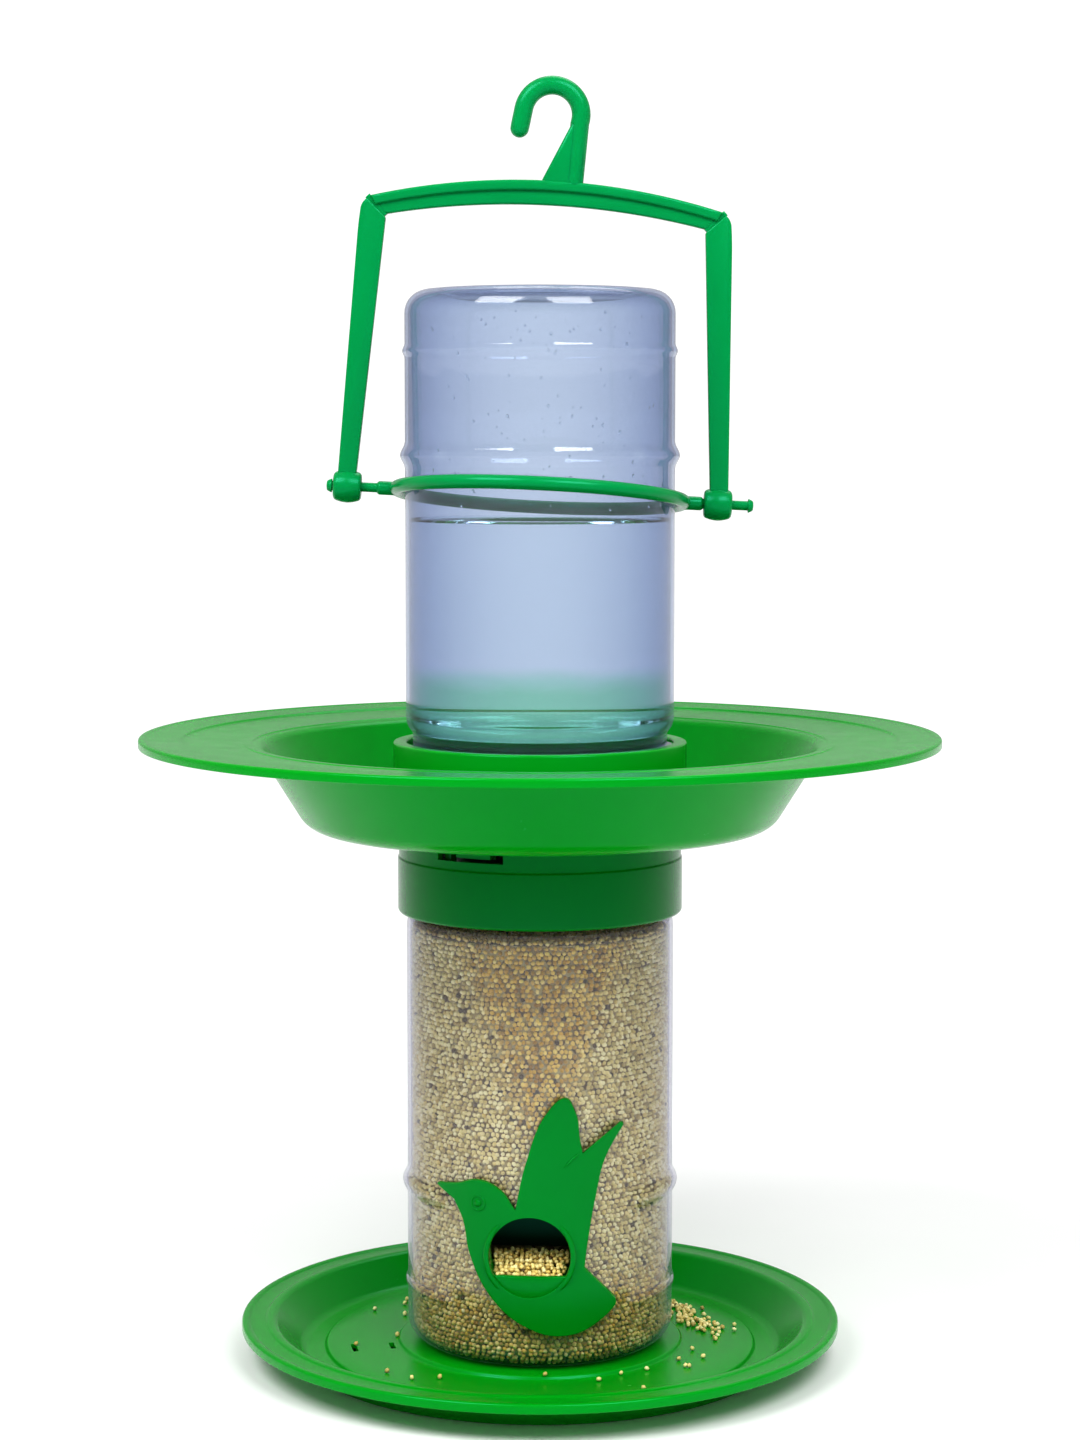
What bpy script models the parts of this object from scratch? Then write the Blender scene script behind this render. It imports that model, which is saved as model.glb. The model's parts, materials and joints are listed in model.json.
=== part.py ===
"""Hanging feeder for wild birds: a seed jar with two bird-shaped ports on a perch tray,
and an upturned water jar that fills a wide tray by gravity, hung from a folding bail.

Metres, +Z up. The origin is the centre of the lower tray's underside, the front port
faces -Y, and lengths are written as millimetres times MM.
"""
import math

import bmesh
import bpy
from mathutils import Matrix

MM = 0.001
GAP = 0.3 * MM  # running gap between touching mouldings
WELD = 1e-6
ROUND_STEPS = 36

# The two blown jars are one design: a base of JAR_R, a straight body and a threaded neck.
JAR_R = 47.0 * MM
JAR_H = 172.0 * MM
JAR_WALL = 1.2 * MM
JAR_CORNER_R = 8.0 * MM
NECK_R = 44.6 * MM
NECK_Z = 153.5 * MM
BEAD_Z = 57.0 * MM
BEAD_HALF = 4.6 * MM
BEAD_OUT = 1.7 * MM
LOW_BEAD_Z = 21.0 * MM
LOW_BEAD_HALF = 2.5 * MM
LOW_BEAD_OUT = 0.8 * MM
BEAD_FADE_DEG = (38.0, 50.0)  # the beads die out before they reach the flat front and back

SEED_JAR_Z = 6.0 * MM
BOTTLE_TOP_Z = 375.6 * MM
WATER_Z = 295.6 * MM
SEED_TOP_Z = 154.6 * MM
FILL_R = 45.3 * MM  # clear of the jar's wall

# Screw threads, one start, the same on both necks.
PITCH = 4.0 * MM
THREAD_TURNS = 1.25
THREAD_Z = 158.0 * MM
THREAD_STEPS = 30  # in each turn
THREAD_ROOT_HALF = 0.9 * MM
THREAD_CREST_HALF = 0.4 * MM
MALE_ROOT_R = 44.2 * MM
MALE_CREST_R = 46.2 * MM
FEMALE_ROOT_R = 47.1 * MM
FEMALE_CREST_R = 45.2 * MM

# Cap of the seed jar, with the bayonet seat of the water tray in its top.
CAP_R = 50.0 * MM
CAP_BOTTOM_Z = 159.0 * MM
CAP_TOP_Z = 188.0 * MM
CAP_BORE_R = 46.7 * MM
PLATE_Z = (179.5 * MM, 180.9 * MM)
LEDGE_Z = 185.7 * MM
LEDGE_R = 43.5 * MM
SOCKET_R = 47.4 * MM
BAYONET_DEG = (0.5, 120.5, 240.5)
LEDGE_HALF_DEG = 15.0
LUG_HALF_DEG = 9.0
LUG_Z = (182.2 * MM, 185.3 * MM)
STOP_DEG = (-14.2, -10.8)

WATER_TRAY_R = 140.0 * MM
TRAY_FLOOR_Z = 188.3 * MM
TRAY_RIM_Z = 221.2 * MM
COLLAR_TOP_Z = 218.8 * MM
WATER_HOLES = 4

LOWER_TRAY_R = 106.0 * MM
FIXING_HOLE_R = 2.6 * MM
DRAIN_RADII = (66.0 * MM, 52.5 * MM)
DRAIN_WIDTH = 1.8 * MM
DRAIN_DEG = (188.0, 194.5)

# Feeding port: a bird-shaped bezel outside the wall, a hood inside it.
PORT_R = 14.0 * MM
PORT_Z = 46.6 * MM
PORT_YAW_DEG = -4.3
PORT_TUBE_R = 15.9 * MM
PORT_HOLE_R = 16.2 * MM
HOOD_R = 17.8 * MM
HOOD_BACK = 20.0 * MM
BEZEL_BACK_R = 47.3 * MM
BEZEL_FACE_R = 49.3 * MM
LIP_DROP = 6.8 * MM

# Hoop that carries the water jar, and the bail that hangs on its two pins.
RING_Z = 304.5 * MM
RING_R = 50.1 * MM
RING_ROD_R = 2.4 * MM
RING_PITCH_DEG = -5.9
RING_ROLL_DEG = 2.8
PIN_R = 1.65 * MM
PIN_END = 74.5 * MM
BAIL_SHIFT = -2.6 * MM
EYE_R = 5.7 * MM
EYE_X = 64.6 * MM
EYE_HALF = 4.9 * MM
ARM_TOP_X = 60.2 * MM
ARM_THICK = 5.0 * MM
BAR_THICK = 6.4 * MM
BAR_CROWN_Z = 108.4 * MM
BAR_END_Z = 100.6 * MM
BAR_DEPTH = 8.4 * MM
HOOK_ROD_R = 3.25 * MM

for old in list(bpy.data.objects):
    bpy.data.objects.remove(old)

PARTS = bpy.data.collections.new("bird_feeder")
bpy.context.scene.collection.children.link(PARTS)


def material(name, colour, roughness, alpha=1.0):
    made = bpy.data.materials.new(name)
    made.use_nodes = True
    shader = made.node_tree.nodes["Principled BSDF"]
    shader.inputs["Base Color"].default_value = (*colour, 1.0)
    shader.inputs["Roughness"].default_value = roughness
    shader.inputs["Metallic"].default_value = 0.0
    shader.inputs["Alpha"].default_value = alpha
    made.diffuse_color = (*colour, alpha)
    return made


def add(name, mesh):
    obj = bpy.data.objects.new(name, mesh)
    PARTS.objects.link(obj)
    return obj


def bake(obj, transform=None, fill=False):
    """Apply a piece's modifiers and place, weld it, and give back a plain mesh object."""
    bpy.context.view_layer.update()
    depsgraph = bpy.context.evaluated_depsgraph_get()
    mesh = bpy.data.meshes.new_from_object(obj.evaluated_get(depsgraph))
    mesh.transform(obj.matrix_world)
    if transform is not None:
        mesh.transform(transform)
    edit = bmesh.new()
    edit.from_mesh(mesh)
    bmesh.ops.remove_doubles(edit, verts=edit.verts, dist=WELD)
    if fill:
        bmesh.ops.holes_fill(edit, edges=edit.edges)
    edit.to_mesh(mesh)
    edit.free()
    name = obj.name
    bpy.data.objects.remove(obj)
    return add(name, mesh)


def boolean(target, tool, operation):
    """Join, cut or trim a piece with a tool, which is used up."""
    modifier = target.modifiers.new(operation.lower(), "BOOLEAN")
    modifier.operation = operation
    modifier.solver = "EXACT"
    modifier.object = tool
    done = bake(target)
    bpy.data.objects.remove(tool)
    return done


def turned(name, profile, steps=ROUND_STEPS, closed=True, transform=None):
    """A turned shape from (radius, height) points that run down its outer side."""
    edges = [(i, i + 1) for i in range(len(profile) - 1)]
    if closed:
        edges.append((len(profile) - 1, 0))
    mesh = bpy.data.meshes.new(name)
    mesh.from_pydata([(r, 0.0, z) for r, z in profile], edges, [])
    obj = add(name, mesh)
    screw = obj.modifiers.new("turn", "SCREW")
    screw.steps = steps
    screw.render_steps = steps
    screw.use_merge_vertices = True
    screw.merge_threshold = WELD
    return bake(obj, transform)


def sector(name, radii, heights, degrees, steps=4):
    """A block bent round the Z axis, between two radii, two heights and two angles."""
    start = math.radians(degrees[0])
    sweep = math.radians(degrees[1]) - start
    edit = bmesh.new()
    low, high = heights
    corners = [(radii[0], low), (radii[1], low), (radii[1], high), (radii[0], high)]
    face = edit.faces.new([edit.verts.new((r, 0.0, z)) for r, z in corners])
    geometry = [face, *face.edges, *face.verts]
    bmesh.ops.rotate(edit, verts=edit.verts, matrix=Matrix.Rotation(start, 3, "Z"))
    bmesh.ops.spin(edit, geom=geometry, axis=(0, 0, 1), angle=sweep, steps=steps)
    bmesh.ops.recalc_face_normals(edit, faces=edit.faces)
    mesh = bpy.data.meshes.new(name)
    edit.to_mesh(mesh)
    edit.free()
    return add(name, mesh)


def block(name, low, high):
    edit = bmesh.new()
    bmesh.ops.create_cube(edit, size=1.0)
    size = [b - a for a, b in zip(low, high)]
    middle = [(a + b) / 2 for a, b in zip(low, high)]
    bmesh.ops.scale(edit, verts=edit.verts, vec=size)
    bmesh.ops.translate(edit, verts=edit.verts, vec=middle)
    mesh = bpy.data.meshes.new(name)
    edit.to_mesh(mesh)
    edit.free()
    return add(name, mesh)


def rod_along_y(name, radius, low_y, high_y, steps=24):
    """A round rod along Y through the port's centre."""
    lay = Matrix.Translation((0, 0, PORT_Z)) @ Matrix.Rotation(math.radians(90), 4, "X")
    profile = [(0, -low_y), (radius, -low_y), (radius, -high_y), (0, -high_y)]
    return turned(name, profile, steps, closed=False, transform=lay)


def flat_outline(name, points, thickness, smooth=(), centre_y=0.0, resolution=2):
    """A flat plate in the XZ plane with a bezier outline, round only at the smooth points."""
    curve = bpy.data.curves.new(name, "CURVE")
    curve.dimensions = "2D"
    curve.fill_mode = "BOTH"
    curve.extrude = thickness / 2
    curve.resolution_u = resolution
    spline = curve.splines.new("BEZIER")
    spline.bezier_points.add(len(points) - 1)
    for index, (x, z) in enumerate(points):
        point = spline.bezier_points[index]
        point.co = (x, z, 0.0)
        kind = "AUTO" if index in smooth else "VECTOR"
        point.handle_left_type = kind
        point.handle_right_type = kind
    spline.use_cyclic_u = True
    obj = add(name, curve)
    upright = Matrix.Translation((0, centre_y, 0)) @ Matrix.Rotation(math.radians(90), 4, "X")
    return bake(obj, upright)


def polygon_plate(name, points, thickness, edge=0.0):
    """A straight-sided plate in the XZ plane, its long edges softened by a Bevel."""
    curve = bpy.data.curves.new(name, "CURVE")
    curve.dimensions = "2D"
    curve.fill_mode = "BOTH"
    curve.extrude = thickness / 2
    spline = curve.splines.new("POLY")
    spline.points.add(len(points) - 1)
    for point, (x, z) in zip(spline.points, points):
        point.co = (x, z, 0.0, 1.0)
    spline.use_cyclic_u = True
    plate = bake(add(name, curve), Matrix.Rotation(math.radians(90), 4, "X"))
    if edge:
        bevel = plate.modifiers.new("soft_edges", "BEVEL")
        bevel.width = edge
        bevel.segments = 1
        bevel.limit_method = "ANGLE"
        bevel.angle_limit = math.radians(50)
        plate = bake(plate)
    return plate


def rod(name, points, radius):
    """A round rod along a line of points in the XZ plane."""
    curve = bpy.data.curves.new(name, "CURVE")
    curve.dimensions = "3D"
    curve.bevel_depth = radius
    curve.bevel_resolution = 2
    curve.use_fill_caps = True
    spline = curve.splines.new("POLY")
    spline.points.add(len(points) - 1)
    for point, (x, z) in zip(spline.points, points):
        point.co = (x, 0.0, z, 1.0)
    return bake(add(name, curve))


def thread(name, root_r, crest_r, low_z, start_deg):
    """A helical ridge, wide at its root and narrow at its crest."""
    profile = [
        (root_r, THREAD_ROOT_HALF),
        (crest_r, THREAD_CREST_HALF),
        (crest_r, -THREAD_CREST_HALF),
        (root_r, -THREAD_ROOT_HALF),
    ]
    if crest_r < root_r:
        profile.reverse()
    mesh = bpy.data.meshes.new(name)
    edges = [(0, 1), (1, 2), (2, 3), (3, 0)]
    mesh.from_pydata([(r, 0.0, z) for r, z in profile], edges, [])
    obj = add(name, mesh)
    screw = obj.modifiers.new("turn", "SCREW")
    screw.angle = math.tau * THREAD_TURNS
    screw.screw_offset = PITCH * THREAD_TURNS
    steps = int(THREAD_STEPS * THREAD_TURNS)
    screw.steps = steps
    screw.render_steps = steps
    place = Matrix.Translation((0, 0, low_z)) @ Matrix.Rotation(math.radians(start_deg), 4, "Z")
    return bake(obj, place, fill=True)


def smoothstep(low, high, value):
    t = min(max((value - low) / (high - low), 0.0), 1.0)
    return t * t * (3 - 2 * t)


def rounded_corner(side_r, floor_z, corner_r):
    """Points round the bottom edge of a jar, from its side to its floor."""
    points = []
    for degrees in (0, 35, 65, 90):
        a = math.radians(degrees)
        radius = side_r - corner_r * (1 - math.cos(a))
        points.append((radius, floor_z + corner_r * (1 - math.sin(a))))
    return points


def jar(name, base_hole_r):
    """A blown jar standing on its base, with its beads, wall and neck thread."""
    profile = [
        (NECK_R, JAR_H),
        (NECK_R, NECK_Z),
        (46.4 * MM, 151.4 * MM),
        (JAR_R, 148.6 * MM),
        (JAR_R, BEAD_Z + BEAD_HALF),
        (JAR_R, BEAD_Z),
        (JAR_R, BEAD_Z - BEAD_HALF),
        (JAR_R, LOW_BEAD_Z + LOW_BEAD_HALF),
        (JAR_R, LOW_BEAD_Z),
        (JAR_R, LOW_BEAD_Z - LOW_BEAD_HALF),
        *rounded_corner(JAR_R, 0.0, JAR_CORNER_R),
        (base_hole_r, 0.0),
    ]
    wall = turned(name, profile, closed=False)
    for vertex in wall.data.vertices:
        x, y, z = vertex.co
        side = math.degrees(math.atan2(abs(x), abs(y)))
        fade = smoothstep(*BEAD_FADE_DEG, side)
        bead = BEAD_OUT * (1 - smoothstep(0.0, BEAD_HALF, abs(z - BEAD_Z)))
        low_bead = LOW_BEAD_OUT * (1 - smoothstep(0.0, LOW_BEAD_HALF, abs(z - LOW_BEAD_Z)))
        grow = 1 + fade * (bead + low_bead) / JAR_R
        vertex.co.x = x * grow
        vertex.co.y = y * grow
    shell = wall.modifiers.new("wall", "SOLIDIFY")
    shell.thickness = JAR_WALL
    shell.offset = -1.0
    shell.use_even_offset = True
    wall = bake(wall)
    return boolean(wall, thread("thread", MALE_ROOT_R, MALE_CREST_R, THREAD_Z, 0.0), "UNION")


def paint(obj, finish):
    obj.data.materials.clear()
    obj.data.materials.append(finish)
    obj.data.shade_smooth()
    obj.data.set_sharp_from_angle(angle=math.radians(35))
    return obj


GREEN = material("green_polypropylene", (0.0, 0.29, 0.06), 0.35)
DARK_GREEN = material("cap_polypropylene", (0.0, 0.13, 0.05), 0.35)
CLEAR = material("clear_pet", (0.80, 0.84, 0.95), 0.08, 0.25)
WATER = material("water", (0.72, 0.80, 0.86), 0.05, 0.35)
MILLET = material("millet_seed", (0.62, 0.45, 0.22), 0.8)
FOAM = material("liner_foam", (0.85, 0.85, 0.82), 0.8)
STEEL = material("zinc_plated_steel", (0.60, 0.60, 0.58), 0.35)


def make_lower_tray():
    profile = [
        (104.8, 14.0), (106.0, 13.2), (106.0, 10.6), (104.6, 10.6), (104.6, 12.4), (94.4, 12.4),
        (84.8, 1.5), (84.4, 0.0), (81.6, 0.0), (81.6, 1.4), (75.4, 1.4), (74.9, 2.8), (49.6, 2.8),
        (49.0, 4.1), (2.6, 4.1), (2.6, 5.7), (50.0, 5.7), (50.6, 4.4), (76.0, 4.4), (76.6, 3.0),
        (83.6, 3.0), (94.0, 14.0),
    ]
    scale = LOWER_TRAY_R / 106.0
    tray = turned("lower_tray", [(r * scale, z * MM) for r, z in profile])
    for radius in DRAIN_RADII:
        slot = sector("slot", (radius, radius + DRAIN_WIDTH), (1.0 * MM, 7.0 * MM), DRAIN_DEG, 2)
        tray = boolean(tray, slot, "DIFFERENCE")
    return paint(tray, GREEN)


def make_base_fixing():
    """Screw from below, washer under the tray and nut on the jar's floor."""
    screw = [(0, 14.4), (2.0, 14.0), (2.0, 2.9), (3.7, 2.9), (3.7, 1.9), (2.9, 0.9), (0, 0.7)]
    washer = [(6.0, 3.8), (6.0, 3.2), (2.3, 3.2), (2.3, 3.8)]
    nut = [(4.0, 10.8), (4.0, 7.6), (2.3, 7.6), (2.3, 10.8)]
    for name, profile, steps in (
        ("base_screw", screw, 12), ("base_washer", washer, 16), ("base_nut", nut, 6),
    ):
        points = [(r * MM, z * MM) for r, z in profile]
        paint(turned(name, points, steps, closed=profile[0][0] > 0), STEEL)


def port_place(yaw_deg):
    return Matrix.Rotation(math.radians(yaw_deg), 4, "Z")


def both_ports():
    return (("front", PORT_YAW_DEG), ("rear", PORT_YAW_DEG + 180))


def make_seed_jar():
    made = jar("seed_jar", FIXING_HOLE_R)
    made.data.transform(Matrix.Translation((0, 0, SEED_JAR_Z)))
    for _, yaw in both_ports():
        cutter = rod_along_y("port_cut", PORT_HOLE_R, -60 * MM, -30 * MM)
        cutter.data.transform(port_place(yaw))
        made = boolean(made, cutter, "DIFFERENCE")
    return paint(made, CLEAR)


def make_seed_fill():
    floor_z = 7.6 * MM
    profile = [
        (0, SEED_TOP_Z + 2.6 * MM),
        (25 * MM, SEED_TOP_Z + 1.6 * MM),
        (FILL_R, SEED_TOP_Z),
        *rounded_corner(FILL_R, floor_z, 6.3 * MM),
        (8 * MM, floor_z),
        (8 * MM, 16.5 * MM),
        (0, 16.5 * MM),
    ]
    fill = turned("seed_fill", profile, closed=False)
    for _, yaw in both_ports():
        cutter = rod_along_y("port_cut", HOOD_R + GAP, -60 * MM, GAP - HOOD_BACK)
        cutter.data.transform(port_place(yaw))
        fill = boolean(fill, cutter, "DIFFERENCE")
    return paint(fill, MILLET)


# Outline of the bezel round the port's centre: a small bird, wings raised.
BIRD = [
    (-33.0, 22.6),  # beak
    (-17.5, 25.8),  # crown
    (-4.6, 17.4),  # nape
    (-1.2, 36.0),  # wing's leading edge
    (12.0, 55.3),  # wing tip
    (17.8, 35.6),  # between the feathers
    (32.0, 45.4),  # second feather's tip
    (24.2, 30.0),
    (18.2, -3.4),  # waist
    (29.4, -16.6),  # tail
    (11.0, -27.3),  # belly
    (-11.2, -16.6),
    (-22.2, 6.0),  # breast
    (-27.8, 18.6),  # throat
]
BIRD_ROUND = (1, 3, 7, 9, 10, 11, 12)


def d_shaped(name, low_y, high_y):
    """The open part of the port: its circle above the scoop's straight lip."""
    start = -math.asin(LIP_DROP / PORT_R)
    sweep = math.pi - 2 * start
    steps = 18
    points = []
    for index in range(steps + 1):
        a = start + sweep * index / steps
        points.append((PORT_R * math.cos(a), PORT_Z + PORT_R * math.sin(a)))
    plate = polygon_plate(name, points, high_y - low_y)
    plate.data.transform(Matrix.Translation((0, (low_y + high_y) / 2, 0)))
    return plate


def make_bezel(name, yaw_deg):
    points = [(x * MM, PORT_Z + z * MM) for x, z in BIRD]
    bezel = flat_outline(name, points, 40 * MM, BIRD_ROUND, -45 * MM)
    low, high = 5 * MM, 130 * MM
    shell = turned("shell", [
        (BEZEL_FACE_R, high), (BEZEL_FACE_R, low), (BEZEL_BACK_R, low), (BEZEL_BACK_R, high),
    ])
    bezel = boolean(bezel, shell, "INTERSECT")
    tube = rod_along_y("tube", PORT_TUBE_R, -48.2 * MM, -38 * MM)
    bezel = boolean(bezel, tube, "UNION")
    bezel = boolean(bezel, d_shaped("mouth", -60 * MM, -30 * MM), "DIFFERENCE")
    # behind the lip the tube is open all round
    throat = rod_along_y("throat", PORT_R, -46.6 * MM, -30 * MM)
    bezel = boolean(bezel, throat, "DIFFERENCE")
    bezel.data.transform(port_place(yaw_deg))
    return paint(bezel, GREEN)


def make_port_hood(name, yaw_deg):
    turn = Matrix.Translation((0, 0, PORT_Z)) @ Matrix.Rotation(math.radians(90), 4, "X")
    wall = HOOD_R - PORT_HOLE_R
    profile = [
        (0, HOOD_BACK + wall), (PORT_HOLE_R, HOOD_BACK + wall), (PORT_HOLE_R, 50 * MM),
        (HOOD_R, 50 * MM), (HOOD_R, HOOD_BACK), (0, HOOD_BACK),
    ]
    hood = turned(name, profile, 24, closed=False, transform=turn)
    inside = [(0, 90 * MM), (FILL_R, 90 * MM), (FILL_R, 0), (0, 0)]
    hood = boolean(hood, turned("inside", inside, closed=False), "INTERSECT")
    # seed runs in under the hood's back half
    low, high = (-30 * MM, -33 * MM, 20 * MM), (30 * MM, -10 * MM, PORT_Z - 3 * MM)
    hood = boolean(hood, block("low_mouth", low, high), "DIFFERENCE")
    hood.data.transform(port_place(yaw_deg))
    return paint(hood, DARK_GREEN)


def make_cap_liner():
    profile = [(0, 179.2), (45.9, 179.2), (45.9, 178.3), (0, 178.3)]
    liner = turned("cap_liner", [(r * MM, z * MM) for r, z in profile], closed=False)
    return paint(liner, FOAM)


def make_jar_cap():
    profile = [
        (0, PLATE_Z[1]), (SOCKET_R, PLATE_Z[1]), (SOCKET_R, LEDGE_Z), (LEDGE_R, LEDGE_Z),
        (LEDGE_R, CAP_TOP_Z), (CAP_R - 0.9 * MM, CAP_TOP_Z), (CAP_R, CAP_TOP_Z - 0.9 * MM),
        (CAP_R, CAP_BOTTOM_Z + 0.8 * MM), (CAP_R - 0.6 * MM, CAP_BOTTOM_Z),
        (CAP_BORE_R + 0.6 * MM, CAP_BOTTOM_Z), (CAP_BORE_R, CAP_BOTTOM_Z + 0.8 * MM),
        (CAP_BORE_R, PLATE_Z[0]), (0, PLATE_Z[0]),
    ]
    cap = turned("jar_cap", profile, closed=False)
    for centre in BAYONET_DEG:
        # between the ledges the ring is open, so that a lug can drop in
        gap = (centre + LEDGE_HALF_DEG, centre + 120 - LEDGE_HALF_DEG)
        heights = (LEDGE_Z - 0.5 * MM, CAP_TOP_Z + 2 * MM)
        opening = sector("entry", (30 * MM, SOCKET_R + 0.3 * MM), heights, gap, 11)
        cap = boolean(cap, opening, "DIFFERENCE")
        window_span = (centre - LEDGE_HALF_DEG + 0.5, centre + LEDGE_HALF_DEG - 0.5)
        window = sector("window", (46 * MM, 54 * MM), (181.6 * MM, 185.1 * MM), window_span)
        cap = boolean(cap, window, "DIFFERENCE")
        stop_span = (centre + STOP_DEG[0], centre + STOP_DEG[1])
        stop_heights = (PLATE_Z[0] + 0.5 * MM, LEDGE_Z + 0.5 * MM)
        stop = sector("stop", (LEDGE_R + 0.5 * MM, SOCKET_R - 0.6 * MM), stop_heights, stop_span, 1)
        cap = boolean(cap, stop, "UNION")
    # the cap's ridge lies half a pitch below the jar's own
    low_z = SEED_JAR_Z + THREAD_Z - PITCH / 2
    ridge = thread("thread", FEMALE_ROOT_R, FEMALE_CREST_R, low_z, 0.0)
    return paint(boolean(cap, ridge, "UNION"), DARK_GREEN)


def make_water_tray():
    rim = TRAY_RIM_Z / MM
    collar = COLLAR_TOP_Z / MM
    profile = [
        (0, 190.0), (48.5, 190.0), (48.5, 201.6), (43.6, 201.6), (43.6, 203.3), (46.7, 203.3),
        (46.7, collar - 0.9), (47.5, collar), (50.8, collar), (51.5, collar - 0.7), (51.5, 190.8),
        (52.3, 190.0), (78.4, 190.0), (81.0, 191.3), (96.8, rim - 4.2), (98.8, rim - 2.8),
        (124.6, rim - 1.5), (125.4, rim - 0.8), (138.9, rim), (140.0, rim - 0.8),
        (140.0, rim - 3.1), (138.6, rim - 3.1), (138.6, rim - 1.8), (125.8, rim - 2.5),
        (98.9, rim - 4.5), (97.8, rim - 5.6), (82.6, 190.3), (80.0, 188.3), (0, 188.3),
    ]
    scale = WATER_TRAY_R / 140.0
    tray = turned("water_tray", [(r * scale, z * MM) for r, z in profile], closed=False)
    for index in range(WATER_HOLES):
        middle = 50 + 360 / WATER_HOLES * index
        hole = sector("hole", (47 * MM, 54 * MM), (191.5 * MM, 198.5 * MM), (middle - 9, middle + 9), 3)
        tray = boolean(tray, hole, "DIFFERENCE")
    for centre in BAYONET_DEG:
        span = (centre - LUG_HALF_DEG, centre + LUG_HALF_DEG)
        stem = sector("stem", (40.6 * MM, 42.8 * MM), (LUG_Z[0], TRAY_FLOOR_Z + 0.8 * MM), span)
        foot_span = (span[0] + 0.7, span[1] - 0.7)
        foot = sector("foot", (42.0 * MM, 46.6 * MM), (LUG_Z[0] + 0.3 * MM, LUG_Z[1]), foot_span)
        tray = boolean(tray, boolean(stem, foot, "UNION"), "UNION")
    # the lowest thread turn lies half a pitch below the bottle's own
    low_z = BOTTLE_TOP_Z - THREAD_Z - PITCH * THREAD_TURNS - PITCH / 2
    ridge = thread("thread", FEMALE_ROOT_R, FEMALE_CREST_R, low_z, -360 * THREAD_TURNS)
    tray = boolean(tray, ridge, "UNION")
    return paint(tray, GREEN)


def make_water_bottle():
    bottle = jar("water_bottle", 0.0)
    turn_over = Matrix.Rotation(math.pi, 4, "X")
    bottle.data.transform(Matrix.Translation((0, 0, BOTTLE_TOP_Z)) @ turn_over)
    return paint(bottle, CLEAR)


def make_water_fill():
    mouth_z = BOTTLE_TOP_Z - JAR_H
    body_r = JAR_R - JAR_WALL - 0.35 * MM
    neck_r = NECK_R - JAR_WALL - 0.35 * MM
    shoulder_z = BOTTLE_TOP_Z - NECK_Z
    profile = [
        (0, WATER_Z), (body_r, WATER_Z), (body_r, shoulder_z + 4.9 * MM),
        (neck_r + 0.4 * MM, shoulder_z + 1.4 * MM), (neck_r, shoulder_z),
        (neck_r, mouth_z + 0.8 * MM), (0, mouth_z + 0.8 * MM),
    ]
    return paint(turned("water_fill", profile, closed=False), WATER)


def make_support_ring():
    bpy.ops.mesh.primitive_torus_add(
        major_radius=RING_R, minor_radius=RING_ROD_R, major_segments=48, minor_segments=8,
    )
    made = bpy.context.object
    made.name = "support_ring"
    made.rotation_euler = (math.radians(RING_PITCH_DEG), 0, 0)
    bpy.context.collection.objects.unlink(made)
    PARTS.objects.link(made)
    ring = bake(made)
    # a root, a slim neck for the eye and a barb that keeps the eye on
    profile = [
        (0, PIN_END), (1.7 * MM, PIN_END - 0.2 * MM), (2.5 * MM, PIN_END - 1.9 * MM),
        (PIN_R, PIN_END - 2.1 * MM), (PIN_R, 56.9 * MM), (RING_ROD_R, 56.3 * MM),
        (RING_ROD_R, 50.2 * MM), (0, 50.2 * MM),
    ]
    for side in (90, -90):
        lay = Matrix.Rotation(math.radians(side), 4, "Y")
        pin = turned("pin", profile, 12, closed=False, transform=lay)
        ring = boolean(ring, pin, "UNION")
    return paint(ring, GREEN)


def eye(x):
    """The round eye at an arm's foot, turned about the pin's axis."""
    bore = PIN_R + GAP
    shoulder_r, shoulder = EYE_R - 0.4 * MM, EYE_HALF - 1.2 * MM
    face_r = EYE_R - 1.6 * MM
    profile = [
        (face_r, EYE_HALF), (shoulder_r, shoulder), (EYE_R, 0), (shoulder_r, -shoulder),
        (face_r, -EYE_HALF), (bore, -EYE_HALF), (bore, EYE_HALF),
    ]
    place = Matrix.Translation((x, 0, 0)) @ Matrix.Rotation(math.radians(90), 4, "Y")
    return turned("eye", profile, 16, transform=place)


def make_arm(name, side):
    outline = [
        (EYE_X - 3.0 * MM, 4.0 * MM), (EYE_X + 3.4 * MM, 4.0 * MM),
        (ARM_TOP_X + 4.3 * MM, 92.0 * MM), (ARM_TOP_X + 3.8 * MM, 95.6 * MM),
        (ARM_TOP_X + 2.0 * MM, 98.6 * MM), (ARM_TOP_X - 4.2 * MM, 92.4 * MM),
    ]
    if side < 0:
        outline = [(-x, z) for x, z in reversed(outline)]
    arm = polygon_plate(name, outline, ARM_THICK, 0.8 * MM)
    arm = boolean(arm, eye(side * EYE_X), "UNION")
    arm.data.transform(Matrix.Translation((BAIL_SHIFT, 0, 0)))
    return paint(arm, GREEN)


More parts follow.
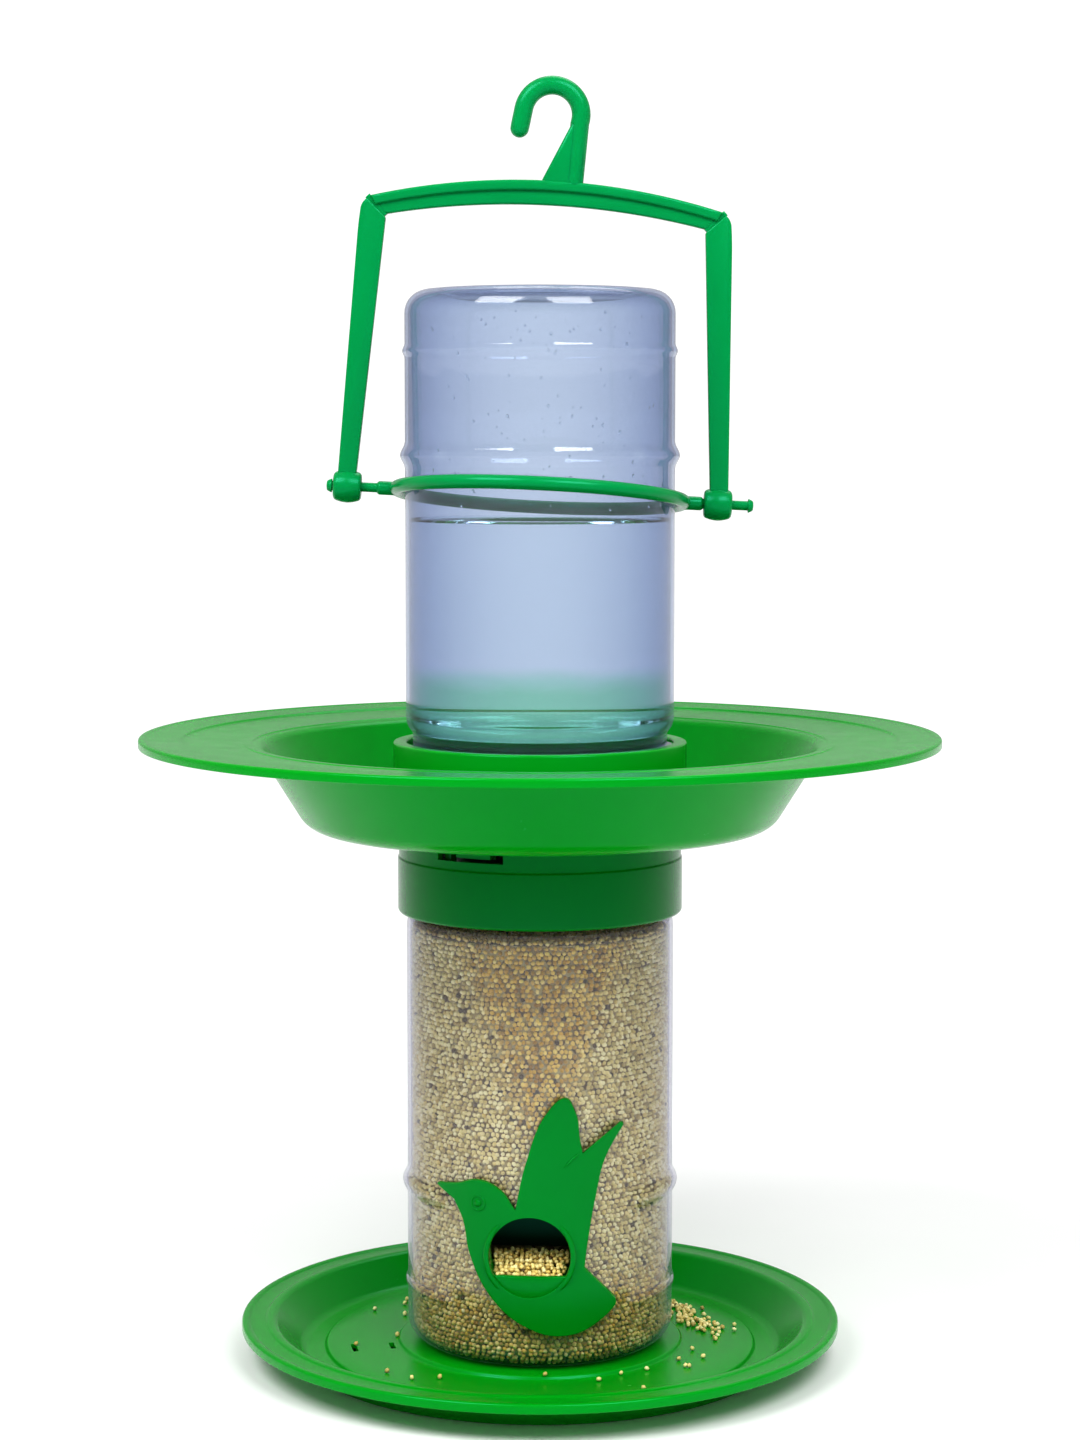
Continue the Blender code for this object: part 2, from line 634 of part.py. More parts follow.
def make_hook_crossbar():
    """The arched bar between the arms, with the hook moulded on it through a gusset."""
    half = ARM_TOP_X
    rise = BAR_CROWN_Z - BAR_END_Z
    arc_r = (half * half + rise * rise) / (2 * rise)
    top = []
    bottom = []
    steps = 12
    for index in range(steps + 1):
        t = 2 * index / steps - 1
        x = t * (half + 0.6 * MM)
        top.append((x, BAR_CROWN_Z - arc_r + math.sqrt(arc_r * arc_r - x * x)))
        x = t * (half - 4.6 * MM)
        drop = BAR_DEPTH - 0.9 * MM * t * t
        bottom.append((x, BAR_CROWN_Z - drop - arc_r + math.sqrt(arc_r * arc_r - x * x)))
    bar = polygon_plate("hook_crossbar", bottom + top[::-1], BAR_THICK, 0.8 * MM)

    foot_z = BAR_CROWN_Z - 1.5 * MM
    head_z = BAR_CROWN_Z + 20 * MM
    gusset = polygon_plate("gusset", [
        (-2.8 * MM, foot_z), (12.2 * MM, foot_z), (12.2 * MM, head_z - 5 * MM),
        (12.6 * MM, head_z), (7.4 * MM, head_z),
    ], 2 * HOOK_ROD_R - 0.6 * MM)
    bend_x = 0.4 * MM
    bend_z = BAR_CROWN_Z + 22.6 * MM
    bend_r = 10.0 * MM
    path = [(9.0 * MM, BAR_CROWN_Z + 13 * MM)]
    for degrees in range(-15, 196, 21):
        a = math.radians(degrees)
        path.append((bend_x + bend_r * math.cos(a), bend_z + bend_r * math.sin(a)))
    path.append((-10.9 * MM, BAR_CROWN_Z + 16.0 * MM))
    hook = rod("hook", path, HOOK_ROD_R)
    bar = boolean(bar, gusset, "UNION")
    bar = boolean(bar, hook, "UNION")
    bar.data.transform(Matrix.Translation((BAIL_SHIFT, 0, 0)))
    return paint(bar, GREEN)


make_lower_tray()
make_base_fixing()
make_seed_jar()
make_seed_fill()
for place, yaw in both_ports():
    make_bezel("port_bezel_" + place, yaw)
    make_port_hood("port_hood_" + place, yaw)
make_cap_liner()
make_jar_cap()
make_water_tray()
make_water_bottle()
make_water_fill()

# The hoop sits askew under the bottle's bead, so its pins and the bail lean with it.
pivot = bpy.data.objects.new("bail_pivot", None)
PARTS.objects.link(pivot)
pivot.location = (0, 0, RING_Z)
pivot.rotation_euler = (0, math.radians(RING_ROLL_DEG), 0)
for hung in (
    make_support_ring(), make_arm("bail_arm_left", -1), make_arm("bail_arm_right", 1),
    make_hook_crossbar(),
):
    hung.parent = pivot
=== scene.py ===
"""A hanging feeder for wild birds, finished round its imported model: a ported seed jar on a perch
tray, an upturned water jar over a drinking tray, and the ring, bail and hook that carry them.

Everything is in metres in the model's frame, with piece sizes in millimetres times MM.
"""
import json
import math

import bmesh
import bpy
import numpy as np
from mathutils import Matrix, Vector


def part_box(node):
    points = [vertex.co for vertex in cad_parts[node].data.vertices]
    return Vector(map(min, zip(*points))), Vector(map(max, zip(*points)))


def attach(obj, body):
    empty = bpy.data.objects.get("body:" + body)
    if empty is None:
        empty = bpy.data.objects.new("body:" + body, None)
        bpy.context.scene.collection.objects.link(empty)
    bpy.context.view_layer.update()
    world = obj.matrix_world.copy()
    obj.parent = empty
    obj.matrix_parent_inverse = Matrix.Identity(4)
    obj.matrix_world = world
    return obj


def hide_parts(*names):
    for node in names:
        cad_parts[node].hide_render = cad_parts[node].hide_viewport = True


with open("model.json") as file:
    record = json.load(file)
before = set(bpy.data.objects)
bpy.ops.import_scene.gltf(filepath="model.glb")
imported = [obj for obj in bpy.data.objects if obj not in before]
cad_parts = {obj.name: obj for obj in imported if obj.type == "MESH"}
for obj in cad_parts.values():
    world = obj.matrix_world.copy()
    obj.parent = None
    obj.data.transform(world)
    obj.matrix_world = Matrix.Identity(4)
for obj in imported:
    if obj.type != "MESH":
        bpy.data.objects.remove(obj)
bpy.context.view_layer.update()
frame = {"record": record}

MM = 0.001
WELD = 1e-6  # corners closer than this are one


# ---- Perch tray -------------------------------------------------------------------------
# The wide shallow tray at the bottom, injection moulded in green polypropylene. Its floor has
# two short drain slots, a raised seat for the jar and a foot ring that the feeder stands on.

def linear(colour):
    """A #RRGGBB colour as the linear values that a shader takes."""
    parts = [int(colour[i:i + 2], 16) / 255 for i in (1, 3, 5)]
    return (*(c / 12.92 if c <= 0.04045 else ((c + 0.055) / 1.055) ** 2.4 for c in parts), 1.0)


def add_node(tree, kind, settings=None, links=None):
    """Add a shader node: settings fill its properties and free sockets, links feed the others."""
    node = tree.nodes.new(kind)
    for key, value in (settings or {}).items():
        if isinstance(key, str) and hasattr(node, key):
            setattr(node, key, value)
        else:
            node.inputs[key].default_value = value
    for key, source in (links or {}).items():
        tree.links.new(source, node.inputs[key])
    return node


def new_finish(name):
    """An empty node material, its tree, its output and the place on the object."""
    made = bpy.data.materials.new(name)
    made.use_nodes = True
    made.node_tree.nodes.clear()
    output = add_node(made.node_tree, "ShaderNodeOutputMaterial")
    place = add_node(made.node_tree, "ShaderNodeTexCoord").outputs["Object"]
    return made, made.node_tree, output, place


def noise(tree, place, size, detail=2.0, roughness=0.5):
    """Noise with patches of about the given size."""
    settings = {"Scale": 1 / size, "Detail": detail, "Roughness": roughness}
    return add_node(tree, "ShaderNodeTexNoise", settings, {"Vector": place}).outputs["Fac"]


def between(tree, low, high, share):
    """The colour that lies a share of the way from one colour to another."""
    ends = {"data_type": "RGBA", 6: linear(low), 7: linear(high)}
    return add_node(tree, "ShaderNodeMix", ends, {0: share}).outputs[2]


def moulded_polypropylene(name, body, bright, roughness, glow=0.22):
    """Injection moulded polypropylene: satin, waxy and a little translucent, so thin rims glow.

    The pigment is slightly uneven over 40 mm or so, and the tool's spark-eroded skin of about
    0.1 mm is drawn at 0.7 mm, as fine as it can show.
    """
    made, tree, output, place = new_finish(name)
    tint = between(tree, body, bright, noise(tree, place, 40 * MM, 3.0))
    satin = add_node(tree, "ShaderNodeMapRange", {
        "From Min": 0.3, "From Max": 0.75, "To Min": roughness - 0.03, "To Max": roughness + 0.04,
    }, {"Value": noise(tree, place, 9 * MM, 5.0, 0.7)})
    relief = add_node(tree, "ShaderNodeBump", {"Strength": 0.06, "Distance": 0.03 * MM},
                      {"Height": noise(tree, place, 0.7 * MM)})
    plastic = add_node(tree, "ShaderNodeBsdfPrincipled", {
        "IOR": 1.49,
        "Specular IOR Level": 0.36,
        "Specular Tint": linear("#68ECDC"),
        "Subsurface Weight": glow,
        "Subsurface Radius": (0.3, 1.0, 0.5),
        "Subsurface Scale": 3.0 * MM,
    }, {"Base Color": tint, "Roughness": satin.outputs["Result"],
        "Normal": relief.outputs["Normal"]})
    tree.links.new(plastic.outputs["BSDF"], output.inputs["Surface"])
    return made


def turn_by(degrees, axis):
    return Matrix.Rotation(math.radians(degrees), 4, axis)


def shift_by(x, y, z):
    """A shift in millimetres."""
    return Matrix.Translation((x * MM, y * MM, z * MM))


def move(shape, matrix, corners=None):
    """Move a shape, or only the given corners of it."""
    bmesh.ops.transform(shape, verts=corners or shape.verts[:], matrix=matrix)


def face_outwards(shape):
    bmesh.ops.recalc_face_normals(shape, faces=shape.faces[:])


def round_off(shape, corners, reach, segments=3, affect="EDGES"):
    """Round edges, or the corners of a flat face, cut back by reach along each side."""
    bmesh.ops.bevel(shape, geom=corners, offset=reach * MM, offset_type="OFFSET", segments=segments,
                    profile=0.5, affect=affect, clamp_overlap=True, material=-1)


def outline_face(outline):
    """A flat face in the XZ plane from (x, z, rounding) in millimetres."""
    shape = bmesh.new()
    corners = [shape.verts.new((point[0] * MM, 0, point[1] * MM)) for point in outline]
    shape.faces.new(corners)
    for corner, point in zip(corners, outline):
        if len(point) > 2:
            round_off(shape, [corner], point[2], 3 if point[2] < 1 else 8, "VERTICES")
    return shape


def spin_round(shape, steps):
    """Spin an outline a full turn about the upright axis and close it."""
    bmesh.ops.spin(shape, geom=shape.verts[:] + shape.edges[:], axis=(0, 0, 1), angle=math.tau,
                   steps=steps, use_merge=True)
    bmesh.ops.remove_doubles(shape, verts=shape.verts[:], dist=WELD)
    face_outwards(shape)


def turned(outline, steps=144, start_deg=0.0):
    """A closed outline of (radius, height, rounding) turned about the upright axis."""
    shape = outline_face(outline)
    bmesh.ops.delete(shape, geom=shape.faces[:], context="FACES_ONLY")
    on_axis = [e for e in shape.edges if all(abs(v.co.x) < WELD / 10 for v in e.verts)]
    bmesh.ops.delete(shape, geom=on_axis, context="EDGES")
    spin_round(shape, steps)
    move(shape, turn_by(start_deg, "Z"))
    return shape


def open_slot(shape, radii, heights, degrees):
    """Open a slot through a turned wall: its faces go on both sides and the rims are joined."""
    gone = []
    for face in shape.faces:
        middle = face.calc_center_median()
        radius = math.hypot(middle.x, middle.y) / MM
        angle = (math.degrees(math.atan2(middle.y, middle.x)) - degrees[0]) % 360
        if (radii[0] < radius < radii[1] and heights[0] < middle.z / MM < heights[1]
                and angle < degrees[1] - degrees[0]):
            gone.append(face)
    bmesh.ops.delete(shape, geom=gone, context="FACES")
    bmesh.ops.bridge_loops(shape, edges=[edge for edge in shape.edges if edge.is_boundary])
    face_outwards(shape)


def new_object(name, data):
    made = bpy.data.objects.new(name, data)
    bpy.context.scene.collection.objects.link(made)
    return made


SHARP_EDGE = math.radians(32)


def make_piece(name, shape, finish, body, slot, *nodes):
    """A finished bmesh becomes a piece that rides on its body and stands for its CAD nodes."""
    mesh = bpy.data.meshes.new(name)
    shape.to_mesh(mesh)
    shape.free()
    mesh.materials.append(finish)
    mesh.shade_smooth()
    mesh.set_sharp_from_angle(angle=SHARP_EDGE)
    piece = new_object(name, mesh)
    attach(piece, body)
    if nodes:
        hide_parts(*nodes)


TRAY_GREEN = moulded_polypropylene("moulded_green_polypropylene", "#00880E", "#009216", 0.24)
DRAIN_R = (52.5, 66.0)
DRAIN_W = 1.8
DRAIN_DEG = (187.5, 195.0)

rim_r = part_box("lower_tray")[1][0] / MM
rim_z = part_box("lower_tray")[1][2] / MM
under_floor = [(r + w, 2.8) for r in DRAIN_R for w in (0, DRAIN_W)]
over_floor = [(r + w, 4.4) for r in reversed(DRAIN_R) for w in (DRAIN_W, 0)]
perch_tray = turned([
    (2.6, 4.1), (49, 4.1, 0.5), (49.6, 2.8, 0.4), *under_floor, (74.9, 2.8, 0.4), (75.4, 1.4, 0.4),
    (81.6, 1.4, 0.3), (81.6, 0, 0.4), (84.4, 0, 0.4), (84.8, 1.5, 0.6), (94.4, 12.4, 1.4),
    (rim_r - 1.4, rim_z - 1.6, 0.4), (rim_r - 1.4, rim_z - 3.4, 0.4), (rim_r, rim_z - 3.4, 0.4),
    (rim_r, rim_z, 1.0), (rim_r - 2.2, rim_z, 0.6), (rim_r - 3.0, rim_z - 0.5, 0.5),
    (97.6, rim_z - 0.5, 0.4), (97.0, rim_z, 0.4), (94.2, rim_z, 1.4), (84.2, 3.0, 2.2),
    (76.6, 3.0, 0.5), (76.0, 4.4, 0.5), *over_floor, (50.6, 4.4, 0.5), (50, 5.7, 0.5), (2.6, 5.7),
])
for drain_r in DRAIN_R:
    open_slot(perch_tray, (drain_r, drain_r + DRAIN_W), (2, 5), DRAIN_DEG)
make_piece("perch_tray", perch_tray, TRAY_GREEN, "seed_base", "green_polypropylene", "lower_tray")


# ---- Base screw, washer and nut -----------------------------------------------------------
# An M4 pan-head screw goes up through the tray and the jar's floor. All three are turned or
# pressed steel with a thin zinc plating, which leaves a pale grey, slightly cloudy metal.

def zinc_plate():
    """Bright zinc plating: a pale metal with cloudy patches a few millimetres across."""
    made, tree, output, place = new_finish("zinc_plated_steel")
    cloud = noise(tree, place, 2.5 * MM, 4.0)
    dull = add_node(tree, "ShaderNodeMapRange", {"To Min": 0.22, "To Max": 0.5}, {"Value": cloud})
    metal = add_node(tree, "ShaderNodeBsdfPrincipled", {"Metallic": 1.0}, {
        "Base Color": between(tree, "#C9CBC8", "#A9ABA8", cloud), "Roughness": dull.outputs["Result"]})
    tree.links.new(metal.outputs["BSDF"], output.inputs["Surface"])
    return made


ZINC = zinc_plate()
screw = turned([(0, 14.4), (1.6, 14.4, 0.3), (2.0, 13.9, 0.2), (2.0, 2.9), (3.7, 2.9, 0.2),
                (3.7, 1.9, 0.6), (2.9, 0.9, 0.5), (0, 0.7)], 48)
for turn_deg in (0, 90):
    # the cross recess: two slots pressed into the head
    recess = bmesh.ops.create_cube(screw, size=1.0)["verts"]
    bmesh.ops.scale(screw, verts=recess, vec=(3.6 * MM, 0.55 * MM, 0.3 * MM))
    move(screw, shift_by(0, 0, 0.75) @ turn_by(turn_deg, "Z"), recess)
make_piece("base_fixing_screw", screw, ZINC, "seed_base", "zinc_steel", "base_screw")
washer = turned([(2.3, 3.2), (6.0, 3.2, 0.15), (6.0, 3.8, 0.15), (2.3, 3.8)], 64)
make_piece("base_fixing_washer", washer, ZINC, "seed_base", "zinc_steel", "base_washer")
nut = turned([(2.3, 7.6), (4.0, 7.6, 0.3), (4.0, 10.8, 0.3), (2.3, 10.8)], 6)
make_piece("base_fixing_nut", nut, ZINC, "seed_base", "zinc_steel", "base_nut")


# ---- Seed jar -----------------------------------------------------------------------------
# A one-litre wide-mouth jar, stretch-blown in clear PET with a wall of about 1.2 mm. Two round
# beads stiffen its sides and fade out before the ports, and its neck has a coarse thread.

JAR_R = 47.0
JAR_WALL = 1.2
JAR_H = 172.0
NECK_R = 44.6
BEADS = ((57.0, 4.6, 1.7), (21.0, 2.5, 0.8))  # height, half-width and swell of each bead
BEAD_FADE = (38.0, 50.0)  # degrees from the ports
SEED_JAR_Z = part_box("seed_jar")[0][2] / MM
THREAD_PITCH = 4.0
THREAD_TURNS = 1.25
THREAD_STEPS = 100
THREAD_Z = 158.0  # where it starts, above the jar's base
NECK_THREAD = (44.2, 46.2)  # root and crest
COLLAR_THREAD = (47.1, 45.2)


def ease(low, high, value):
    share = min(max((value - low) / (high - low), 0.0), 1.0)
    return share * share * (3 - 2 * share)


def bead_swell(x, y, z, least=0.0):
    """How far a bead pushes the jar's wall out, in millimetres, at a place on the jar."""
    side = max(ease(*BEAD_FADE, math.degrees(math.atan2(abs(x), abs(y)))), least)
    return side * sum(out * (1 - ease(0, half, abs(z - middle))) for middle, half, out in BEADS)


def blown_jar(base_hole, push_up, least_bead):
    """A jar on its base at height 0, both faces of its wall in one turned outline.

    The beads keep least_bead of their swell where they fade.
    """
    heights = [m + h * s for m, h, _ in BEADS for s in (1, 0.75, 0.5, 0.25, 0, -0.25, -0.5, -0.75, -1)]
    wall = JAR_WALL
    base = [(base_hole, push_up), (30, push_up, 3.0), (34, 0, 2.0)] if push_up else [(base_hole, 0)]
    floor = [(r, z + wall, *rounding) for r, z, *rounding in base]
    outside = [(JAR_R, z) for z in heights]
    inside = [(JAR_R - wall, z) for z in reversed(heights)]
    shape = turned([
        *base, (JAR_R, 0, 8.0), *reversed(outside), (JAR_R, 149.0, 1.2), (46.3, 151.6, 1.0),
        (NECK_R, 153.5, 0.8), (NECK_R, JAR_H, 0.5), (NECK_R - wall, JAR_H, 0.5),
        (NECK_R - wall, 153.2, 0.8), (45.2, 151.2, 1.0), (JAR_R - wall, 148.9, 1.2),
        *reversed(inside), (JAR_R - wall, wall, 6.8), *reversed(floor),
    ], 160)
    for vertex in shape.verts:
        x, y, z = (c / MM for c in vertex.co)
        radius = math.hypot(x, y)
        if radius > NECK_R and z < 148:
            grow = 1 + bead_swell(x, y, z, least_bead) / radius
            vertex.co.x *= grow
            vertex.co.y *= grow
    return shape


def add_thread(shape, root_r, crest_r, low_z, start_deg=0.0):
    """A one-start ridge round a neck: its section is spun and lifted by the pitch."""
    section = [(root_r, -0.9), (crest_r, -0.4), (crest_r, 0.4), (root_r, 0.9)]
    points = [shape.verts.new((r * MM, 0, (low_z + z) * MM)) for r, z in section]
    face = shape.faces.new(points)
    move(shape, turn_by(start_deg, "Z"), points)
    bmesh.ops.spin(shape, geom=[*points, *face.edges, face], axis=(0, 0, 1),
                   angle=math.tau * THREAD_TURNS, steps=THREAD_STEPS,
                   dvec=(0, 0, THREAD_PITCH * THREAD_TURNS * MM / THREAD_STEPS))
    face_outwards(shape)


def clear_pet(name, clear, edge):
    """Blown PET: glossy, tinted by clear where faced and by edge where seen along the wall.

    The thin wall hardly bends light, so it is a clear sheet with a mirror and a faint haze on it.
    Each share grows with the facing angle, as Fresnel's law has it at an index of 1.5.
    """
    made, tree, output, place = new_finish(name)
    drawn = add_node(tree, "ShaderNodeMapping", {"Scale": (1, 1, 0.15)}, {"Vector": place})
    ripple = add_node(tree, "ShaderNodeBump", {"Strength": 0.25, "Distance": 0.12 * MM},
                      {"Height": noise(tree, drawn.outputs["Vector"], 5 * MM)})
    facing = add_node(tree, "ShaderNodeLayerWeight", {"Blend": 0.5}).outputs["Facing"]
    shares = []
    for power, most, least in ((5.0, 0.8, 0.045), (6.0, 0.5, 0.016)):
        steep = add_node(tree, "ShaderNodeMath", {"operation": "POWER", 1: power}, {0: facing})
        shares.append(add_node(tree, "ShaderNodeMath", {"operation": "MULTIPLY_ADD", 1: most,
                                                        2: least}, {0: steep.outputs[0]}).outputs[0])
    see = add_node(tree, "ShaderNodeBsdfTransparent", None,
                   {"Color": between(tree, clear, edge, facing)})
    haze = add_node(tree, "ShaderNodeBsdfDiffuse", {"Color": linear("#DCDCF0")})
    body = add_node(tree, "ShaderNodeMixShader", None,
                    {0: shares[1], 1: see.outputs[0], 2: haze.outputs[0]})
    mirror = add_node(tree, "ShaderNodeBsdfGlossy", {"Roughness": 0.05},
                      {"Normal": ripple.outputs["Normal"]})
    wall = add_node(tree, "ShaderNodeMixShader", None,
                    {0: shares[0], 1: body.outputs[0], 2: mirror.outputs[0]})
    tree.links.new(wall.outputs[0], output.inputs["Surface"])
    return made


PORT_Z = 46.6
PORT_YAWS = {"front": -4.3, "rear": 175.7}


def port_frame(yaw):
    """From a port's own X, height and distance outwards to the model's frame."""
    return turn_by(yaw, "Z") @ shift_by(0, 0, PORT_Z) @ turn_by(90, "X")


def bore_ports(shape, radius, near, far):
    """Bore both ports' round holes through a shape, and give it back."""
    for yaw in PORT_YAWS.values():
        drill = bmesh.new()
        bmesh.ops.create_cone(drill, cap_ends=True, segments=72, radius1=radius * MM,
                              radius2=radius * MM, depth=(far - near) * MM)
        move(drill, port_frame(yaw) @ shift_by(0, 0, (near + far) / 2))
        solids = []
        for solid in (shape, drill):
            mesh = bpy.data.meshes.new("bore")
            solid.to_mesh(mesh)
            solid.free()
            solids.append(new_object("bore", mesh))
        cut = solids[0].modifiers.new("bore", "BOOLEAN")
        cut.operation = "DIFFERENCE"
        cut.solver = "EXACT"
        cut.object = solids[1]
        depsgraph = bpy.context.evaluated_depsgraph_get()
        shape = bmesh.new()
        shape.from_object(solids[0], depsgraph)
        for solid in solids:
            bpy.data.objects.remove(solid)
    return shape


SEED_JAR_PET = clear_pet("blown_clear_pet", "#FAFAFB", "#E4E4EE")
seed_jar = blown_jar(2.6, 0, 0.0)
move(seed_jar, shift_by(0, 0, SEED_JAR_Z))
add_thread(seed_jar, *NECK_THREAD, SEED_JAR_Z + THREAD_Z)
seed_jar = bore_ports(seed_jar, 16.2, 30, 60)
make_piece("seed_jar_blown", seed_jar, SEED_JAR_PET, "seed_base", "clear_pet", "seed_jar")


# ---- Bird-shaped bezels -------------------------------------------------------------------
# Each port is framed by a bird moulded in green polypropylene and bent to the jar's side, with
# a short tube through the wall and a scoop lip. A small eye and a feather crease are moulded in.

BIRD = (  # x and height from the port's centre, and how far the outline's handles reach
    (-32.7, 22.4, 0.4), (-25.5, 23.8, "AUTO"), (-17.5, 25.9, "AUTO"), (-10.0, 23.0, "AUTO"),
    (-4.8, 16.4, "VECTOR"), (-1.2, 32.5, "AUTO"), (6.2, 50.4, "AUTO"), (11.8, 55.1, 2.0),
    (15.2, 51.0, "AUTO"), (17.2, 39.6, "AUTO"), (18.0, 35.8, "VECTOR"), (21.0, 38.2, "AUTO"),
    (30.2, 45.2, 0.5), (31.4, 44.2, 0.5), (25.6, 34.0, "AUTO"), (22.3, 20.5, "AUTO"),
    (19.5, 3.6, "AUTO"), (18.6, -4.0, "VECTOR"), (29.2, -16.8, 1.8), (22.0, -24.0, "AUTO"),
    (12.0, -27.2, "AUTO"), (0.0, -24.6, "AUTO"), (-13.0, -14.6, "AUTO"), (-20.8, 0.0, "AUTO"),
    (-23.2, 11.5, "AUTO"), (-26.4, 18.2, "VECTOR"),
)
PORT_R = 14.0
PORT_STEPS = 72
TUBE_R = 15.9
LIP_DROP = 6.8
BEZEL_BACK_R = 47.3
BEZEL_THICK = 2.0
BEND_STEP = 1.5


def bird_plate():
    """The flat bird with its round hole, as one face layer in the XY plane."""
    curve = bpy.data.curves.new("bird", "CURVE")
    curve.dimensions = "2D"
    curve.fill_mode = "BOTH"
    curve.resolution_u = 10
    outline = curve.splines.new("BEZIER")
    outline.bezier_points.add(len(BIRD) - 1)
    for index, (x, y, reach) in enumerate(BIRD):
        point = outline.bezier_points[index]
        point.co = (x * MM, y * MM, 0)
        point.handle_left_type = point.handle_right_type = reach if isinstance(reach, str) else "FREE"
        if isinstance(reach, float):
            # a tip is rounded across the line between its neighbours
            before, after = BIRD[index - 1], BIRD[(index + 1) % len(BIRD)]
            across = Vector((after[0] - before[0], after[1] - before[1], 0)).normalized() * reach * MM
            point.handle_left = point.co - across
            point.handle_right = point.co + across
    outline.use_cyclic_u = True
    hole = curve.splines.new("POLY")
    hole.points.add(PORT_STEPS - 1)
    for index, point in enumerate(hole.points):
        a = math.tau * index / PORT_STEPS
        point.co = (PORT_R * math.cos(a) * MM, PORT_R * math.sin(a) * MM, 0, 1)
    hole.use_cyclic_u = True
    flat = new_object("bird", curve)
    shape = bmesh.new()
    mesh = bpy.data.meshes.new_from_object(flat)
    shape.from_mesh(mesh)
    bpy.data.objects.remove(flat)
    bpy.data.meshes.remove(mesh)
    bmesh.ops.remove_doubles(shape, verts=shape.verts[:], dist=WELD)
    return shape


def raise_layer(shape, lift):
    """Close a flat layer into a plate by raising a copy of it; gives the raised corners."""
    face_outwards(shape)
    made = bmesh.ops.extrude_face_region(shape, geom=shape.faces[:], use_keep_orig=True)["geom"]
    raised = [part for part in made if isinstance(part, bmesh.types.BMVert)]
    bmesh.ops.translate(shape, verts=raised, vec=lift)
    face_outwards(shape)
    return raised


def thicken(shape, thickness, edge):
    """Give a flat layer in the XY plane its thickness along +Z, with rounded front edges."""
    raised = set(raise_layer(shape, (0, 0, thickness * MM)))
    rim = [e for e in shape.edges if all(v in raised for v in e.verts)
           and e.is_manifold and e.calc_face_angle() > 1.0]
    round_off(shape, rim, edge)


def slice_across(shape, point, normal, **more):
    """Cut a shape's faces along a plane, given by a point in millimetres and its normal."""
    bmesh.ops.bisect_plane(shape, geom=shape.verts[:] + shape.edges[:] + shape.faces[:],
                           plane_co=Vector(point) * MM, plane_no=normal, **more)


def wrap_on_jar(shape, back_r):
    """Slice a flat plate finely, then bend it so that its back lies on a cylinder."""
    low, high = (f(v.co.x for v in shape.verts) / MM for f in (min, max))
    for index in range(1, int((high - low) / BEND_STEP)):
        slice_across(shape, (low + index * BEND_STEP, 0, 0), (1, 0, 0))
    for vertex in shape.verts:
        radius = back_r * MM + vertex.co.z
        vertex.co.z = math.sqrt(radius * radius - vertex.co.x ** 2)


def merge_shapes(*shapes):
    """Put several finished shapes in one mesh."""
    whole = bmesh.new()
    for shape in shapes:
        mesh = bpy.data.meshes.new("part")
        shape.to_mesh(mesh)
        shape.free()
        whole.from_mesh(mesh)
        bpy.data.meshes.remove(mesh)
    return whole


def bird_bezel():
    plate = bird_plate()
    thicken(plate, BEZEL_THICK, 0.7)
    wrap_on_jar(plate, BEZEL_BACK_R)

    tube = turned([(PORT_R, 38), (TUBE_R, 38), (TUBE_R, 48.2, 0.6), (PORT_R, 48.2, 0.6)], 72)

    lip = bmesh.new()
    bmesh.ops.create_circle(lip, cap_ends=True, segments=72, radius=(PORT_R + 0.3) * MM)
    slice_across(lip, (0, -LIP_DROP, 0), (0, 1, 0), clear_outer=True)
    thicken(lip, 1.9, 0.4)
    wrap_on_jar(lip, 46.7)

    eye = bmesh.new()
    bmesh.ops.create_uvsphere(eye, u_segments=20, v_segments=10, radius=1.3 * MM)
    bmesh.ops.scale(eye, verts=eye.verts[:], vec=(1, 1, 0.55))
    socket = turned([(2.1, -0.4), (2.9, -0.4), (2.9, 0.25, 0.3), (2.1, 0.25, 0.3)], 40)
    crease = bmesh.new()
    bmesh.ops.create_uvsphere(crease, u_segments=16, v_segments=8, radius=1.0 * MM)
    bmesh.ops.scale(crease, verts=crease.verts[:], vec=(3.6, 0.45, 0.45))
    move(crease, turn_by(42, "Z"))
    for mark, x, y in ((eye, -17.8, 18.0), (socket, -17.8, 18.0), (crease, 14.2, 33.6)):
        face_r = BEZEL_BACK_R + BEZEL_THICK
        tilt = Matrix.Rotation(math.asin(x / face_r), 4, "Y")
        move(mark, shift_by(x, y, math.sqrt(face_r ** 2 - x ** 2)) @ tilt)
    return merge_shapes(plate, tube, lip, eye, socket, crease)


# the bezels' green is a little darker than the trays' as painted shade under the drinking tray
BEZEL_SHADED_GREEN = moulded_polypropylene("bezel_polypropylene_painted_shade", "#007612", "#008018", 0.2)
for side, yaw in PORT_YAWS.items():
    bezel = bird_bezel()
    move(bezel, port_frame(yaw))
    make_piece("bird_bezel_" + side, bezel, BEZEL_SHADED_GREEN, "seed_base", "bezel_polypropylene",
               "port_bezel_" + side)


# ---- Port hoods ---------------------------------------------------------------------------
# Behind each port a green moulded cup holds the seed back; it is coloured near black as painted
# shade, since its inside is seen only in shadow. It is open underneath, so that grains run in from below
# and stop at the scoop lip.

HOOD_R = 17.8
HOOD_WALL = 1.6
HOOD_BACK = 20.0
HOOD_FRONT = 41.5
MOUTH = (-3.0, 33.0)  # open below this height and behind this distance out
